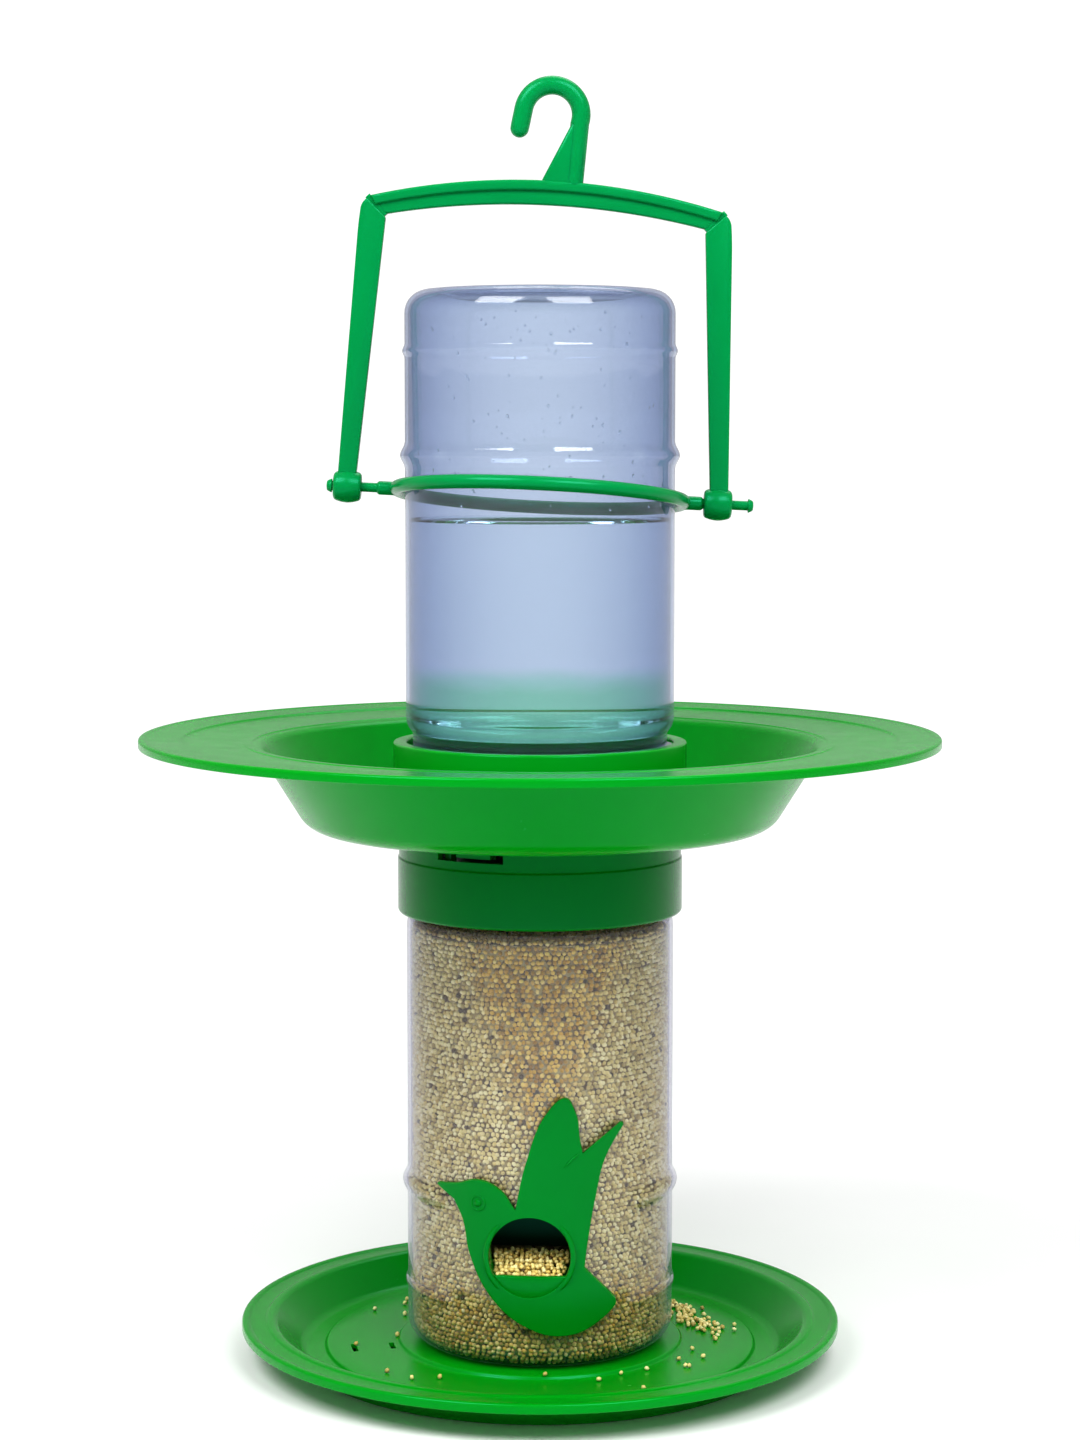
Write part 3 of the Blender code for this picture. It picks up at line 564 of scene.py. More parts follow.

# the cap's green is darker than the trays' as painted shade under the drinking tray
CAP_SHADED_GREEN = moulded_polypropylene("cap_polypropylene_painted_shade", "#006408", "#006E0C", 0.22, 0.1)
# the hood's near-black green is painted shade inside the port
HOOD_SHADED_GREEN = moulded_polypropylene("hood_polypropylene_painted_shade", "#00300C", "#003810", 0.4, 0.05)
for side, yaw in PORT_YAWS.items():
    hood = outline_face([(HOOD_R, HOOD_FRONT), (HOOD_R, HOOD_BACK, 2.5), (0, HOOD_BACK),
                         (0, HOOD_FRONT)])
    bmesh.ops.delete(hood, geom=hood.faces[:], context="FACES_ONLY")
    open_sides = [e for e in hood.edges if min(v.co.x for v in e.verts) < WELD / 10
                  and max(v.co.z for v in e.verts) > (HOOD_FRONT - 0.5) * MM]
    bmesh.ops.delete(hood, geom=open_sides, context="EDGES")
    spin_round(hood, 64)
    for height in (MOUTH[1], HOOD_BACK + 0.5):
        slice_across(hood, (0, 0, height), (0, 0, 1))
    slice_across(hood, (0, MOUTH[0], 0), (0, 1, 0))
    middles = {f: f.calc_center_median() / MM for f in hood.faces}
    under = [f for f, middle in middles.items() if middle.y < MOUTH[0] and middle.z < MOUTH[1]]
    bmesh.ops.delete(hood, geom=under, context="FACES")
    face_outwards(hood)
    bmesh.ops.solidify(hood, geom=hood.faces[:], thickness=HOOD_WALL * MM)
    face_outwards(hood)
    move(hood, port_frame(yaw))
    make_piece("grain_hood_" + side, hood, HOOD_SHADED_GREEN, "seed_base", "cap_polypropylene",
               "port_hood_" + side)


# ---- Seed ---------------------------------------------------------------------------------
# White and yellow millet, hulled grains about 2 mm long, poured in at the neck. The grains
# against the wall, on top and in the ports are modelled singly round a plain core of seed.

GRAIN = (1.05, 0.9, 0.78)  # half-axes of one grain
FILL_R = JAR_R - JAR_WALL - 0.05
FILL_LOW = SEED_JAR_Z + JAR_WALL
FILL_TOP = 154.6
CROWN = 2.6
ROW_STEP = 1.62
GRAIN_STEP = 1.86


def millet(name, from_attributes, brightness):
    """Dry millet: matte straw-coloured grains from cream to brown, a few dark weed seeds.

    Grains are made paler by a share given to each one: on the grains against the jar's wall it is
    painted reflection of the softboxes in that wall, elsewhere random tone. On the core, where no grain
    is modelled, cells of 1.9 mm stand for them.
    """
    made, tree, output, place = new_finish(name)
    if from_attributes:
        tone = add_node(tree, "ShaderNodeAttribute", {"attribute_name": "tone"}).outputs["Fac"]
        painted_reflection_and_tone = add_node(tree, "ShaderNodeAttribute", {"attribute_name": "painted_reflection_and_tone"}).outputs["Fac"]
    else:
        cells = add_node(tree, "ShaderNodeTexVoronoi", {"Scale": 1 / (1.9 * MM)}, {"Vector": place})
        tone = add_node(tree, "ShaderNodeSeparateColor", None,
                        {"Color": cells.outputs["Color"]}).outputs["Red"]
        painted_reflection_and_tone = cells.outputs["Distance"]
    golden = add_node(tree, "ShaderNodeValToRGB", None, {"Fac": tone})
    pale_reflection_and_tone_ramp = add_node(tree, "ShaderNodeValToRGB", None, {"Fac": tone})
    for ramp, colours in (
        (golden, ("#463210", "#8C661E", "#D8AE40", "#F8E07C")),
        (pale_reflection_and_tone_ramp, ("#5A4826", "#A89456", "#E8D890", "#FDF6C4")),
    ):
        elements = ramp.color_ramp.elements
        for position in (0.12, 0.6):
            elements.new(position)
        for element, position, colour in zip(elements, (0.0, 0.09, 0.55, 1.0), colours):
            element.position = position
            element.color = linear(colour)
    shade = add_node(tree, "ShaderNodeMix", {"data_type": "RGBA"},
                     {0: painted_reflection_and_tone, 6: golden.outputs["Color"], 7: pale_reflection_and_tone_ramp.outputs["Color"]})
    # a brightness below 1 darkens the colour as painted shade
    depth = add_node(tree, "ShaderNodeHueSaturation", {"Value": brightness}, {"Color": shade.outputs[2]})
    seed = add_node(tree, "ShaderNodeBsdfPrincipled", {"Roughness": 0.5, "IOR": 1.45},
                    {"Base Color": depth.outputs[0]})
    tree.links.new(seed.outputs["BSDF"], output.inputs["Surface"])
    return made


MILLET = millet("millet_grains", True, 1.0)
# the core is darkened to 0.42 as painted shade between the outer grains
MILLET_CORE = millet("millet_in_bulk", False, 0.42)  # dark between the outer grains
random = np.random.default_rng(7)


def scatter_grains(name, spots, painted_reflection_and_tone):
    """One mesh of grains, each a small flattened ball turned its own way at its own spot."""
    ball = bmesh.new()
    bmesh.ops.create_icosphere(ball, subdivisions=1, radius=1.0)
    corners = np.array([v.co[:] for v in ball.verts])
    sides = np.array([[v.index for v in face.verts] for face in ball.faces])
    ball.free()
    count = len(spots)
    size = random.uniform(0.86, 1.06, (count, 1)) * GRAIN * MM
    turn = np.linalg.qr(random.normal(size=(count, 3, 3)))[0]
    places = np.einsum("nij,nvj->nvi", turn, corners[None] * size[:, None]) + spots[:, None] * MM
    faces = sides[None] + len(corners) * np.arange(count)[:, None, None]
    mesh = bpy.data.meshes.new(name)
    mesh.from_pydata(places.reshape(-1, 3).tolist(), [], faces.reshape(-1, 3).tolist())
    tone = np.where(random.random(count) < 0.015, 0.0, random.beta(1.5, 1.3, count) * 0.85 + 0.15)
    for label, values in (("tone", tone), ("painted_reflection_and_tone", painted_reflection_and_tone)):
        layer = mesh.attributes.new(label, "FLOAT", "POINT")
        layer.data.foreach_set("value", np.repeat(values, len(corners)).astype(np.float32))
    mesh.materials.append(MILLET)
    mesh.shade_smooth()
    grains = new_object(name, mesh)
    # a random turn may mirror a grain, so its faces are set outwards again
    shape = bmesh.new()
    shape.from_mesh(mesh)
    face_outwards(shape)
    shape.to_mesh(mesh)
    shape.free()
    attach(grains, "seed_base")


def fill_radius(z):
    """The seed's radius at a height: it follows the jar's rounded base."""
    corner = 6.8
    below = max(corner - (z - FILL_LOW), 0)
    return FILL_R - corner + math.sqrt(max(corner ** 2 - below ** 2, 0))


def golden_share(x, z):
    """Where no painted reflection of the softboxes pales them, in a wedge from the top and low down, the
    grains stay golden.
    """
    half_width = 0.36 * (z - 76)
    wedge = 1 - ease(half_width - 7, half_width + 7, abs(x - 1.0)) if z > 60 else 0.0
    return max(wedge, 0.75 * (1 - ease(24, 50, z)))


core_r = FILL_R - 1.4  # a layer of grains stands round it
core = turned([
    (8.5, FILL_LOW + 1.4), (core_r, FILL_LOW + 1.4, 6.5), (core_r, FILL_TOP - 1.4),
    (25, FILL_TOP + 0.4), (0, FILL_TOP + 1.4), (0, FILL_LOW + 10), (8.5, FILL_LOW + 10),
], 96)
core = bore_ports(core, HOOD_R + 0.3, HOOD_BACK - 0.5, 60)
make_piece("seed_core", core, MILLET_CORE, "seed_base", "millet", "seed_fill")

rows = int((FILL_TOP - FILL_LOW) / ROW_STEP)
wall_spots = []
for row in range(rows):
    z = FILL_LOW + 0.9 + ROW_STEP * row
    around = max(int(math.tau * fill_radius(z) / GRAIN_STEP), 8)
    for index in range(around):
        angle = math.tau * (index + 0.5 * (row % 2) + random.uniform(-0.28, 0.28)) / around
        height = z + random.uniform(-0.35, 0.35)
        x, y = math.cos(angle), math.sin(angle)
        jar_height = height - SEED_JAR_Z
        radius = fill_radius(height) - 1.02 + bead_swell(x, y, jar_height) - random.uniform(0, 0.5)
        wall_spots.append((x * radius, y * radius, height))
wall_spots = np.array(wall_spots)
for yaw in PORT_YAWS.values():
    # nothing stands in the ports' tubes
    inverse = np.array(port_frame(yaw).inverted())
    local = wall_spots * MM @ inverse[:3, :3].T + inverse[:3, 3]
    clear = (np.hypot(local[:, 0], local[:, 1]) > 17.2 * MM) | (local[:, 2] < 0)
    wall_spots = wall_spots[clear]
for side, sign in (("front", -1), ("rear", 1)):
    spots = wall_spots[wall_spots[:, 1] * sign > 0]
    # painted reflection: wall grains are paler where the softboxes would reflect in the jar's wall,
    # golden in the wedge and low down
    painted_reflection_and_tone = np.array([1 - golden_share(x, z) for x, _, z in spots])
    painted_reflection_and_tone = np.clip(painted_reflection_and_tone + random.normal(0, 0.18, len(painted_reflection_and_tone)), 0, 1)
    scatter_grains("wall_grains_" + side, spots, painted_reflection_and_tone)

top_spots = []
reach = FILL_R - 1.6
for row in range(int(2 * reach / ROW_STEP)):
    for index in range(int(2 * reach / GRAIN_STEP)):
        x = -reach + GRAIN_STEP * (index + 0.5 * (row % 2)) + random.uniform(-0.4, 0.4)
        y = -reach + ROW_STEP * row + random.uniform(-0.35, 0.35)
        share = math.hypot(x, y) / FILL_R
        if share * FILL_R < reach:
            z = FILL_TOP - 0.9 + CROWN * (1 - share ** 2) + random.uniform(-0.5, 0.3)
            top_spots.append((x, y, z))
top_spots = np.array(top_spots)
scatter_grains("top_grains", top_spots, random.uniform(0.2, 0.7, len(top_spots)))

for side, yaw in PORT_YAWS.items():
    # a heap in the tube, from the lip up to the seed under the hood
    heap = []
    for out in np.arange(29.0, 46.2, 1.5):
        level = np.interp(out, (29, 32, 37.5, 46.4), (-4.5, -1.9, -2.6, -7.2))
        for layer in range(3):
            height = level - 1.3 * layer
            half = math.sqrt(max(PORT_R ** 2 - height ** 2, 0)) - 1.2
            for across in np.arange(-half, half, 1.75):
                shift = random.uniform(-0.5, 0.5, 3)
                heap.append((across + shift[0], height + shift[1] * 0.6, out + shift[2]))
    frame_matrix = np.array(port_frame(yaw))
    heap = np.array(heap) @ frame_matrix[:3, :3].T + frame_matrix[:3, 3] / MM
    scatter_grains("port_heap_" + side, heap, random.uniform(0.3, 0.9, len(heap)))

# Grains that the birds spilled: a loose patch right of the jar and a few strays in front.
spilled = []
for _ in range(120):
    along = random.uniform(0, 1)
    angle = math.radians(random.normal(4 + 36 * along, 5))
    radius = random.normal(57 + 13 * abs(along - 0.5), 2.6)
    spilled.append((radius, angle))
for radius, degrees in ((50.0, -88), (52.5, -58), (54, -47), (63, -35), (70, -60), (56, 152), (80, 12)):
    spilled.append((radius, math.radians(degrees)))
for _ in range(26):
    spilled.append((random.uniform(50, 74), random.uniform(0, math.tau)))
spilled = np.array([(r * math.cos(a), r * math.sin(a), 4.4 + 0.85 if r > 50.9 else 6.6)
                    for r, a in spilled if 49.0 < r < 75.0])
scatter_grains("spilled_grains", spilled, random.uniform(0.5, 1, len(spilled)))


# ---- Cap liner ----------------------------------------------------------------------------
# A disc die-cut from white foamed polyethylene sheet. It is pressed into the screw cap, and
# seals the seed jar's mouth.

def foam():
    """Closed-cell polyethylene foam: matt white, with cells of about 0.5 mm just showing."""
    made, tree, output, place = new_finish("foamed_polyethylene")
    cells = add_node(tree, "ShaderNodeTexVoronoi", {"Scale": 1 / (0.5 * MM)}, {"Vector": place})
    tone = between(tree, "#F1F1EC", "#D9D9D2", cells.outputs["Distance"])
    relief = add_node(tree, "ShaderNodeBump", {"Strength": 0.3, "Distance": 0.1 * MM},
                      {"Height": cells.outputs["Distance"]})
    sheet = add_node(tree, "ShaderNodeBsdfPrincipled", {"Roughness": 0.8},
                     {"Base Color": tone, "Normal": relief.outputs["Normal"]})
    tree.links.new(sheet.outputs["BSDF"], output.inputs["Surface"])
    return made


liner_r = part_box("cap_liner")[1][0] / MM
liner_low, liner_high = (corner[2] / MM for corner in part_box("cap_liner"))
liner = turned([(0, liner_low), (liner_r, liner_low, 0.2), (liner_r, liner_high, 0.2),
                (0, liner_high)], 96)
make_piece("sealing_liner", liner, foam(), "cap_liner", "liner_foam", "cap_liner")


# ---- Screw cap ----------------------------------------------------------------------------
# A green polypropylene cap, coloured darker than the trays as painted shade under the drinking
# tray, with a coarse thread inside. Its top is a bayonet seat: three ledges that the drinking tray's
# lugs turn under, each seen through a window in the side.

CAP_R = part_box("jar_cap")[1][0] / MM
CAP_LOW, CAP_HIGH = (corner[2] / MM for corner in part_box("jar_cap"))
BAYONETS = (0.5, 120.5, 240.5)
WINDOW_Z = (181.6, 185.1)


def add_arc_block(shape, radii, heights, degrees, steps=10):
    """A block bent round the upright axis, added to a moulding that it grows from."""
    low, high = heights
    section = [(radii[0], low), (radii[1], low), (radii[1], high), (radii[0], high)]
    points = [shape.verts.new((r * MM, 0, z * MM)) for r, z in section]
    face = shape.faces.new(points)
    move(shape, turn_by(degrees[0], "Z"), points)
    bmesh.ops.spin(shape, geom=[*points, *face.edges, face], axis=(0, 0, 1), steps=steps,
                   angle=math.radians(degrees[1] - degrees[0]))
    face_outwards(shape)


window_low, window_high = WINDOW_Z
cap = turned([
    (0, 179.5), (46.7, 179.5), (46.7, CAP_LOW + 0.8, 0.3), (47.3, CAP_LOW, 0.3),
    (CAP_R - 0.6, CAP_LOW, 0.3), (CAP_R, CAP_LOW + 0.8, 0.4), (CAP_R, 178.2, 0.2),
    (CAP_R - 0.35, 178.8, 0.2), (CAP_R - 0.35, window_low), (CAP_R - 0.35, window_high),
    (CAP_R - 0.35, CAP_HIGH, 0.8), (47.4, CAP_HIGH, 0.4), (47.4, window_high), (47.4, window_low),
    (47.4, 180.9), (0, 180.9),
], 120, 0.5)
for centre in BAYONETS:
    open_slot(cap, (47, CAP_R + 1), WINDOW_Z, (centre - 15, centre + 15))
for centre in BAYONETS:
    add_arc_block(cap, (43.5, 48.0), (185.7, CAP_HIGH), (centre - 15, centre + 15))
    add_arc_block(cap, (44.0, 46.8), (180.4, 186.2), (centre - 14.2, centre - 10.8), 3)
add_thread(cap, *COLLAR_THREAD, SEED_JAR_Z + THREAD_Z - THREAD_PITCH / 2)
make_piece("screw_cap", cap, CAP_SHADED_GREEN, "jar_cap", "cap_polypropylene", "jar_cap")


# ---- Drinking tray ------------------------------------------------------------------------
# The big green tray that the water jar feeds: a bowl with a wide flat rim to perch on, and a
# threaded collar in the middle. Four holes low in the collar let the water out.

bowl_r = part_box("water_tray")[1][0] / MM
rim_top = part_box("water_tray")[1][2] / MM
collar_top = 218.8
HOLE_DEG = 9.0
tray_top = [
    (0, 190.0), (48.5, 190.0, 0.6), (48.5, 191.5), (48.5, 198.5), (48.5, 201.6), (43.6, 201.6, 0.3),
    (43.6, 203.3, 0.3), (46.7, 203.3), (46.7, collar_top, 0.7), (51.5, collar_top, 0.7),
    (51.5, 198.5), (51.5, 191.5), (51.5, 190.0, 0.8), (80.1, 190.0, 5.0),
    (97.6, rim_top - 3.1, 2.0), (100.6, rim_top - 2.7, 0.4), (101.0, rim_top - 2.3, 0.3),
    (103.2, rim_top - 2.3, 0.3), (103.6, rim_top - 2.6, 0.4), (124.6, rim_top - 1.5, 0.4),
    (125.4, rim_top - 0.8, 0.4), (137.2, rim_top - 0.3, 0.5), (137.8, rim_top, 0.3),
    (bowl_r, rim_top, 0.9),
]
tray_under = [
    (bowl_r, rim_top - 3.1, 0.4), (138.6, rim_top - 3.1, 0.3), (138.6, rim_top - 1.8, 0.4),
    (125.8, rim_top - 2.5, 0.5), (98.9, rim_top - 4.5, 1.6), (81.2, 188.3, 5.5), (70.0, 188.3),
    (0, 188.3),
]
drinking_tray = turned(tray_top + tray_under, 180, 1.0)
for quarter in range(4):
    middle = 50 + 90 * quarter
    open_slot(drinking_tray, (48, 52), (191.5, 198.5), (middle - HOLE_DEG, middle + HOLE_DEG))
for centre in BAYONETS:
    add_arc_block(drinking_tray, (40.6, 42.8), (182.2, 189.0), (centre - 9, centre + 9))
    add_arc_block(drinking_tray, (42.0, 46.6), (182.5, 185.3), (centre - 8.3, centre + 8.3))
bottle_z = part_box("water_bottle")[1][2] / MM
add_thread(drinking_tray, *COLLAR_THREAD,
           bottle_z - THREAD_Z - THREAD_PITCH * (THREAD_TURNS + 0.5), -360 * THREAD_TURNS)
make_piece("drinking_tray", drinking_tray, TRAY_GREEN, "water_tray", "green_polypropylene", "water_tray")


# ---- Water jar ----------------------------------------------------------------------------
# The same blown jar turned over and screwed into the collar. Its base, now on top, is pushed
# in a little, and drops of condensed water cling inside above the water.

WATER_JAR_PET = clear_pet("blown_bluish_pet", "#EBF0F7", "#C8D0E2")
water_jar = blown_jar(0, 2.0, 0.6)
add_thread(water_jar, *NECK_THREAD, THREAD_Z)
move(water_jar, shift_by(0, 0, bottle_z) @ turn_by(180, "X"))
make_piece("water_jar_blown", water_jar, WATER_JAR_PET, "water_bottle", "clear_pet", "water_bottle")

# below about this height the water's colour is painted with the tray's green
PAINTED_TRAY_GREEN_TOP = 244 * MM


def water():
    """Still water, faintly blue-grey through its depth, clear to light.

    Low down its colour is painted with the tray's green, a painted reflection of the tray that stands
    round it.
    """
    made, tree, output, place = new_finish("still_water")
    still = noise(tree, place, 30 * MM)
    tint = between(tree, "#F2F6F8", "#F6FAFB", still)
    height = add_node(tree, "ShaderNodeSeparateXYZ", None, {"Vector": place})
    level = add_node(tree, "ShaderNodeMath", {"operation": "MULTIPLY_ADD", 1: 6 * MM},
                     {0: still, 2: height.outputs["Z"]})
    low = add_node(tree, "ShaderNodeMapRange", {
        "interpolation_type": "SMOOTHSTEP", "From Min": PAINTED_TRAY_GREEN_TOP - 3 * MM,
        "From Max": PAINTED_TRAY_GREEN_TOP + 3 * MM, "To Min": 1.0, "To Max": 0.0,
    }, {"Value": level.outputs[0]})
    # painted reflection: the tray's green mixed into the water's colour low down
    painted_tray_green = add_node(tree, "ShaderNodeMix", {"data_type": "RGBA", 7: linear("#A8ECC4")},
                   {0: low.outputs["Result"], 6: tint})
    clear = add_node(tree, "ShaderNodeBsdfPrincipled", {
        "Roughness": 0.0, "IOR": 1.333, "Transmission Weight": 1.0,
    }, {"Base Color": painted_tray_green.outputs[2]})
    through = add_node(tree, "ShaderNodeBsdfTransparent", {"Color": linear("#F2F6F8")})
    path = add_node(tree, "ShaderNodeLightPath")
    body = add_node(tree, "ShaderNodeMixShader", None, {
        0: path.outputs["Is Shadow Ray"], 1: clear.outputs["BSDF"], 2: through.outputs[0]})
    tree.links.new(body.outputs[0], output.inputs["Surface"])
    return made


WATER = water()
water_low, water_high = (corner[2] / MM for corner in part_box("water_fill"))
water_body = turned([
    (0, water_low), (43.05, water_low, 0.6), (43.05, bottle_z - 153.2, 0.6),
    (44.85, bottle_z - 151.2, 0.8), (45.45, bottle_z - 148.9, 0.8), (45.45, water_high + 1.0),
    (44.9, water_high + 0.25), (43.6, water_high), (0, water_high),
], 128)
make_piece("jar_water", water_body, WATER, "water", "water", "water_fill")

drops = bmesh.new()
for _ in range(150):
    angle = math.radians(random.normal(0, 60) - 90)
    height = random.uniform(water_high + 4, bottle_z - 9)
    radius = random.uniform(0.15, 0.6)
    drop = bmesh.ops.create_icosphere(drops, subdivisions=2, radius=radius * MM)["verts"]
    bmesh.ops.scale(drops, verts=drop, vec=(0.45, 1.0, 1.15))
    move(drops, Matrix.Rotation(angle, 4, "Z") @ shift_by(45.65 - radius * 0.3, 0, height), drop)
make_piece("condensed_drops", drops, WATER, "water_bottle", "water")


# ---- Carrying ring ------------------------------------------------------------------------
# A round hoop of green polypropylene sprung over the water jar and stopped by its bead, so it
# sits a little askew. Two barbed pins stand out from it for the bail.

swing = next(j for j in frame["record"]["behaviour"]["joints"] if j["name"] == "bail_swing")
RING_ROLL = math.atan2(-swing["axis"][2], swing["axis"][0])
RING_PITCH = -5.9
RING_R = 50.1
RING_ROD_R = 2.4
bail_frame = Matrix.Translation(swing["pos_m"]) @ Matrix.Rotation(RING_ROLL, 4, "Y")

BAIL_GREEN = moulded_polypropylene("moulded_bail_polypropylene", "#007E3E", "#008A46", 0.24, 0.3)
ring = bmesh.new()
section = bmesh.ops.create_circle(ring, segments=20, radius=RING_ROD_R * MM)["verts"]
move(ring, shift_by(RING_R, 0, 0) @ turn_by(90, "X"), section)
spin_round(ring, 144)
move(ring, turn_by(RING_PITCH, "X"))
pins = []
for turn in (90, -90):
    pin = turned([
        (0, 50.2), (2.4, 50.2), (2.4, 56.3, 0.5), (1.65, 56.9, 0.2), (1.65, 72.4, 0.1),
        (2.5, 72.6, 0.2), (1.7, 74.3, 0.4), (0, 74.5),
    ], 32)
    move(pin, turn_by(turn, "Y"))
    pins.append(pin)
ring = merge_shapes(ring, *pins)
move(ring, bail_frame)
make_piece("carrying_ring", ring, BAIL_GREEN, "support_ring", "bail_polypropylene", "support_ring")


# ---- Bail legs ----------------------------------------------------------------------------
# Two flat polypropylene straps, each with a round eye snapped over a pin. They are moulded in
# one with the crossbar, and folded up at a thin hinge in each top corner.

BAIL_SHIFT = -2.6
EYE_X = 64.6
EYE_R = 5.7
EYE_HALF = 4.9
LEG_TOP_X = 60.2
LEG_THICK = 5.0


def flat_moulding(outline, thickness, edge):
    """A flat outline in the XZ plane given its thickness, with rounded edges on both faces."""
    shape = outline_face(outline)
    move(shape, shift_by(0, -thickness / 2, 0))
    raise_layer(shape, (0, thickness * MM, 0))
    rims = [e for e in shape.edges if abs(e.verts[0].co.y - e.verts[1].co.y) < WELD]
    round_off(shape, rims, edge)
    return shape


for side, sign in (("left", -1), ("right", 1)):
    leg_outline = [
        (EYE_X - 3.0, 4.0), (EYE_X + 3.4, 4.0), (LEG_TOP_X + 4.4, 91.0, 4.0),
        (LEG_TOP_X + 3.7, 97.6, 1.6), (LEG_TOP_X + 1.8, 99.5, 0.5), (LEG_TOP_X - 4.9, 93.2, 0.4),
    ]
    leg = flat_moulding(leg_outline, LEG_THICK, 1.1)
    eye = turned([
        (1.95, -EYE_HALF), (EYE_R - 1.0, -EYE_HALF, 1.0), (EYE_R, -1.5, 1.5), (EYE_R, 1.5, 1.5),
        (EYE_R - 1.0, EYE_HALF, 1.2), (1.95, EYE_HALF),
    ], 40)
    move(eye, shift_by(EYE_X, 0, 0) @ turn_by(90, "Y"))
    leg = merge_shapes(leg, eye)
    if sign < 0:
        bmesh.ops.scale(leg, verts=leg.verts[:], vec=(-1, 1, 1))
        bmesh.ops.reverse_faces(leg, faces=leg.faces[:])
    move(leg, bail_frame @ shift_by(BAIL_SHIFT, 0, 0))
    make_piece("bail_leg_" + side, leg, BAIL_GREEN, "bail", "bail_polypropylene", "bail_arm_" + side)


# ---- Crossbar and hook --------------------------------------------------------------------
# The bail's arched top, a stiff rib over a thinner web, with a round hook moulded upright on it
# through a triangular gusset. The whole feeder hangs by this hook.

BAR_THICK = 6.4
BAR_CROWN = 108.4
BAR_END = 100.6
BAR_DEPTH = 8.4
HOOK_ROD_R = 3.25
HOOK_X = 0.4
HOOK_Z = BAR_CROWN + 22.6
HOOK_R = 10.0


def bar_arch(half, drop, sag, steps=28):
    """Points along the crossbar's arch, set down by drop at the crown and a little less at the ends."""
    rise = BAR_CROWN - BAR_END
    arc_r = (LEG_TOP_X ** 2 + rise ** 2) / (2 * rise)
    points = []
    for index in range(steps + 1):
        share = 2 * index / steps - 1
        x = share * half
        z = BAR_CROWN - drop + sag * share ** 2 - arc_r + math.sqrt(arc_r ** 2 - x ** 2)
        points.append((x, z))
    return points


rib = flat_moulding(bar_arch(59.0, 3.6, 0.0) + bar_arch(LEG_TOP_X + 0.6, 0, 0)[::-1], BAR_THICK, 0.9)
web = flat_moulding(bar_arch(LEG_TOP_X - 4.6, BAR_DEPTH, 0.9) + bar_arch(59.0, 2.6, 0)[::-1],
                    BAR_THICK - 2.6, 0.8)
gusset = flat_moulding([
    (-2.8, BAR_CROWN - 1.5), (12.2, BAR_CROWN - 1.5), (12.2, BAR_CROWN + 15), (12.6, BAR_CROWN + 20),
    (7.4, BAR_CROWN + 20),
], 2 * HOOK_ROD_R - 1.4, 1.2)


def swept_rod(stations, sides=24):
    """A round rod through (x, z, radius) stations in the XZ plane, closed at both ends."""
    shape = bmesh.new()
    sideways = Vector((0, 1, 0))
    rings = []
    for index, (x, z, radius) in enumerate(stations):
        before, after = stations[max(index - 1, 0)], stations[min(index + 1, len(stations) - 1)]
        along = Vector((after[0] - before[0], 0, after[1] - before[1])).normalized()
        across = along.cross(sideways)
        rings.append([])
        for side in range(sides):
            a = 2 * math.pi * side / sides
            out = radius * (math.cos(a) * across + math.sin(a) * sideways)
            rings[-1].append(shape.verts.new((Vector((x, 0, z)) + out) * MM))
    for first, second in zip(rings, rings[1:]):
        for side in range(sides):
            shape.faces.new((first[side - 1], first[side], second[side], second[side - 1]))
    for end in (rings[0], rings[-1]):
        shape.faces.new(end)
    face_outwards(shape)
    return shape


path = [(9.0, BAR_CROWN - 1.0, HOOK_ROD_R)]
for degrees in range(-15, 172, 6):
    a = math.radians(degrees)
    path.append((HOOK_X + HOOK_R * math.cos(a), HOOK_Z + HOOK_R * math.sin(a), HOOK_ROD_R))
end_x, end_z = path[-1][:2]
for share in (0.3, 0.6, 0.75, 0.83, 0.9, 0.95, 0.98, 1.0):
    # the free end runs on straight to a half-round tip
    radius = HOOK_ROD_R * math.sqrt(1 - (max(share - 0.675, 0) / 0.33) ** 2)
    path.append((end_x - 1.6 * share, end_z - 9.9 * share, radius))
hook = swept_rod(path)
folds = []
for sign in (-1, 1):
    # the thin hinge that fills each corner's fold
    fold = flat_moulding([(54.8, 94.4), (61.2, 101.0), (62.6, 99.6), (56.2, 93.0)], LEG_THICK - 1.2, 0.3)
    bmesh.ops.scale(fold, verts=fold.verts[:], vec=(sign, 1, 1))
    face_outwards(fold)
    folds.append(fold)
bail_bar = merge_shapes(rib, web, gusset, hook, *folds)
move(bail_bar, bail_frame @ shift_by(BAIL_SHIFT, 0, 0))
make_piece("bail_bar_with_hook", bail_bar, BAIL_GREEN, "bail", "bail_polypropylene", "hook_crossbar")


# ---- Floor, lights and camera -------------------------------------------------------------
# A plain pale studio floor, two softboxes above the front left and right, and an even fill.

STUDIO = "#F8F8F8"


def pale_paper():
    """Matt white paper, which runs out into the pale walls from 0.5 m onwards."""
    made, tree, output, place = new_finish("pale_studio_paper")
    tone = between(tree, "#F1F1F1", "#F4F4F4", noise(tree, place, 60 * MM))
    paper = add_node(tree, "ShaderNodeBsdfDiffuse", None, {"Color": tone})
    walls = add_node(tree, "ShaderNodeEmission", {"Color": linear(STUDIO)})
    away = add_node(tree, "ShaderNodeVectorMath", {"operation": "LENGTH"}, {0: place})
    share = add_node(tree, "ShaderNodeMapRange", {
        "interpolation_type": "SMOOTHSTEP", "From Min": 0.35, "From Max": 1.0,
    }, {"Value": away.outputs["Value"]})
    blend = add_node(tree, "ShaderNodeMixShader", None,
                     {0: share.outputs["Result"], 1: paper.outputs[0], 2: walls.outputs[0]})
    tree.links.new(blend.outputs[0], output.inputs["Surface"])
    return made


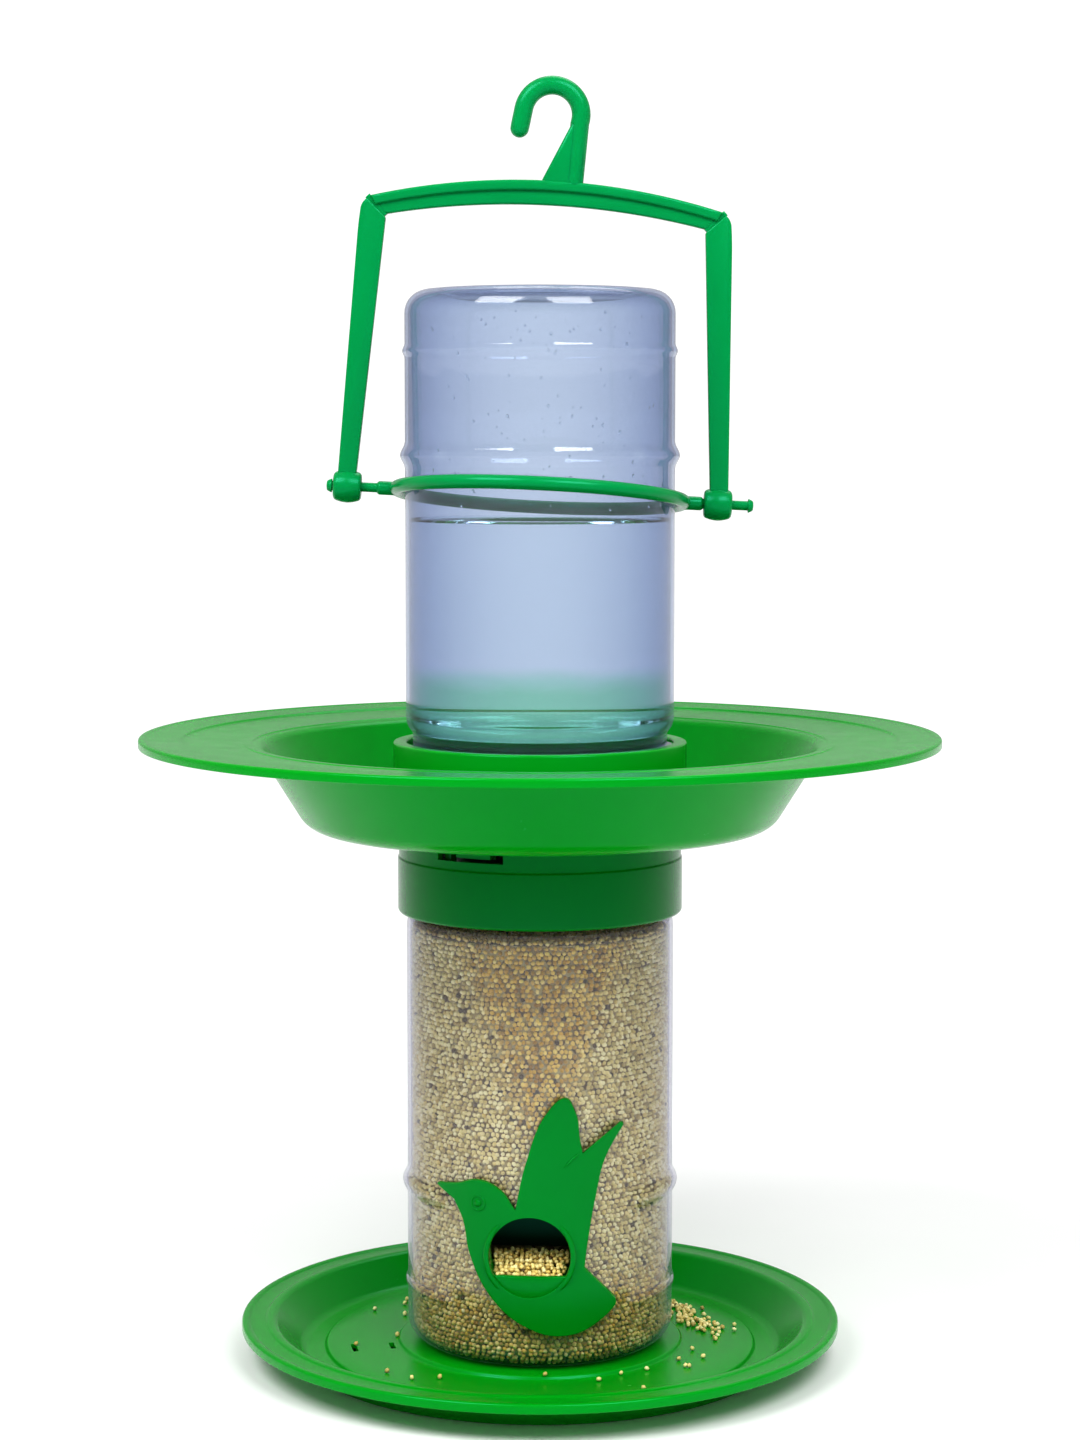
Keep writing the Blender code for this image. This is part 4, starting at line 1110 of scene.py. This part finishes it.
paper = bmesh.new()
bmesh.ops.create_circle(paper, cap_ends=True, segments=96, radius=9.0)
bmesh.ops.translate(paper, verts=paper.verts[:], vec=(0, 0, -0.0002))
floor_mesh = bpy.data.meshes.new("studio_floor")
paper.to_mesh(floor_mesh)
paper.free()
floor_mesh.materials.append(pale_paper())
new_object("studio_floor", floor_mesh)

aim = Vector((0, 0, 0.22))
for name, azimuth, elevation, distance, size, power in (
    ("softbox_left", -42, 46, 1.5, 0.8, 15.0), ("softbox_right", 30, 44, 1.5, 0.8, 14.0),
    ("softbox_back", 165, 60, 1.9, 1.2, 8.0),
):
    lamp = bpy.data.lights.new(name, "AREA")
    lamp.shape = "RECTANGLE"
    lamp.size = size
    lamp.size_y = size * 0.9
    lamp.energy = power
    box = new_object(name, lamp)
    a, e = math.radians(azimuth), math.radians(elevation)
    away = Vector((math.sin(a) * math.cos(e), -math.cos(a) * math.cos(e), math.sin(e)))
    box.location = aim + away * distance
    box.rotation_euler = away.to_track_quat("Z", "Y").to_euler()

# The studio's walls look as pale as the floor, and light the feeder at about half of that.
world = bpy.data.worlds.new("studio_walls")
world.use_nodes = True
path = add_node(world.node_tree, "ShaderNodeLightPath").outputs
seen = add_node(world.node_tree, "ShaderNodeMath", {"operation": "MAXIMUM"},
                {0: path["Is Camera Ray"], 1: path["Is Transmission Ray"]})
strength = add_node(world.node_tree, "ShaderNodeMapRange", {"To Min": 0.5, "To Max": 1.0},
                    {"Value": seen.outputs[0]})
walls = world.node_tree.nodes["Background"]
walls.inputs["Color"].default_value = linear(STUDIO)
world.node_tree.links.new(strength.outputs["Result"], walls.inputs["Strength"])
bpy.context.scene.world = world

EYE = Vector((0, -1.062, 0.326))
LOOK = Vector((0.0, 0, 0.226))
lens = bpy.data.cameras.new("studio_camera")
lens.lens = 76.0
camera = new_object("studio_camera", lens)
camera.location = EYE
camera.rotation_euler = (LOOK - EYE).to_track_quat("-Z", "Y").to_euler()
scene = bpy.context.scene
scene.camera = camera
scene.view_settings.view_transform = "Standard"
scene.view_settings.look = "Medium High Contrast"
scene.cycles.use_denoising = True
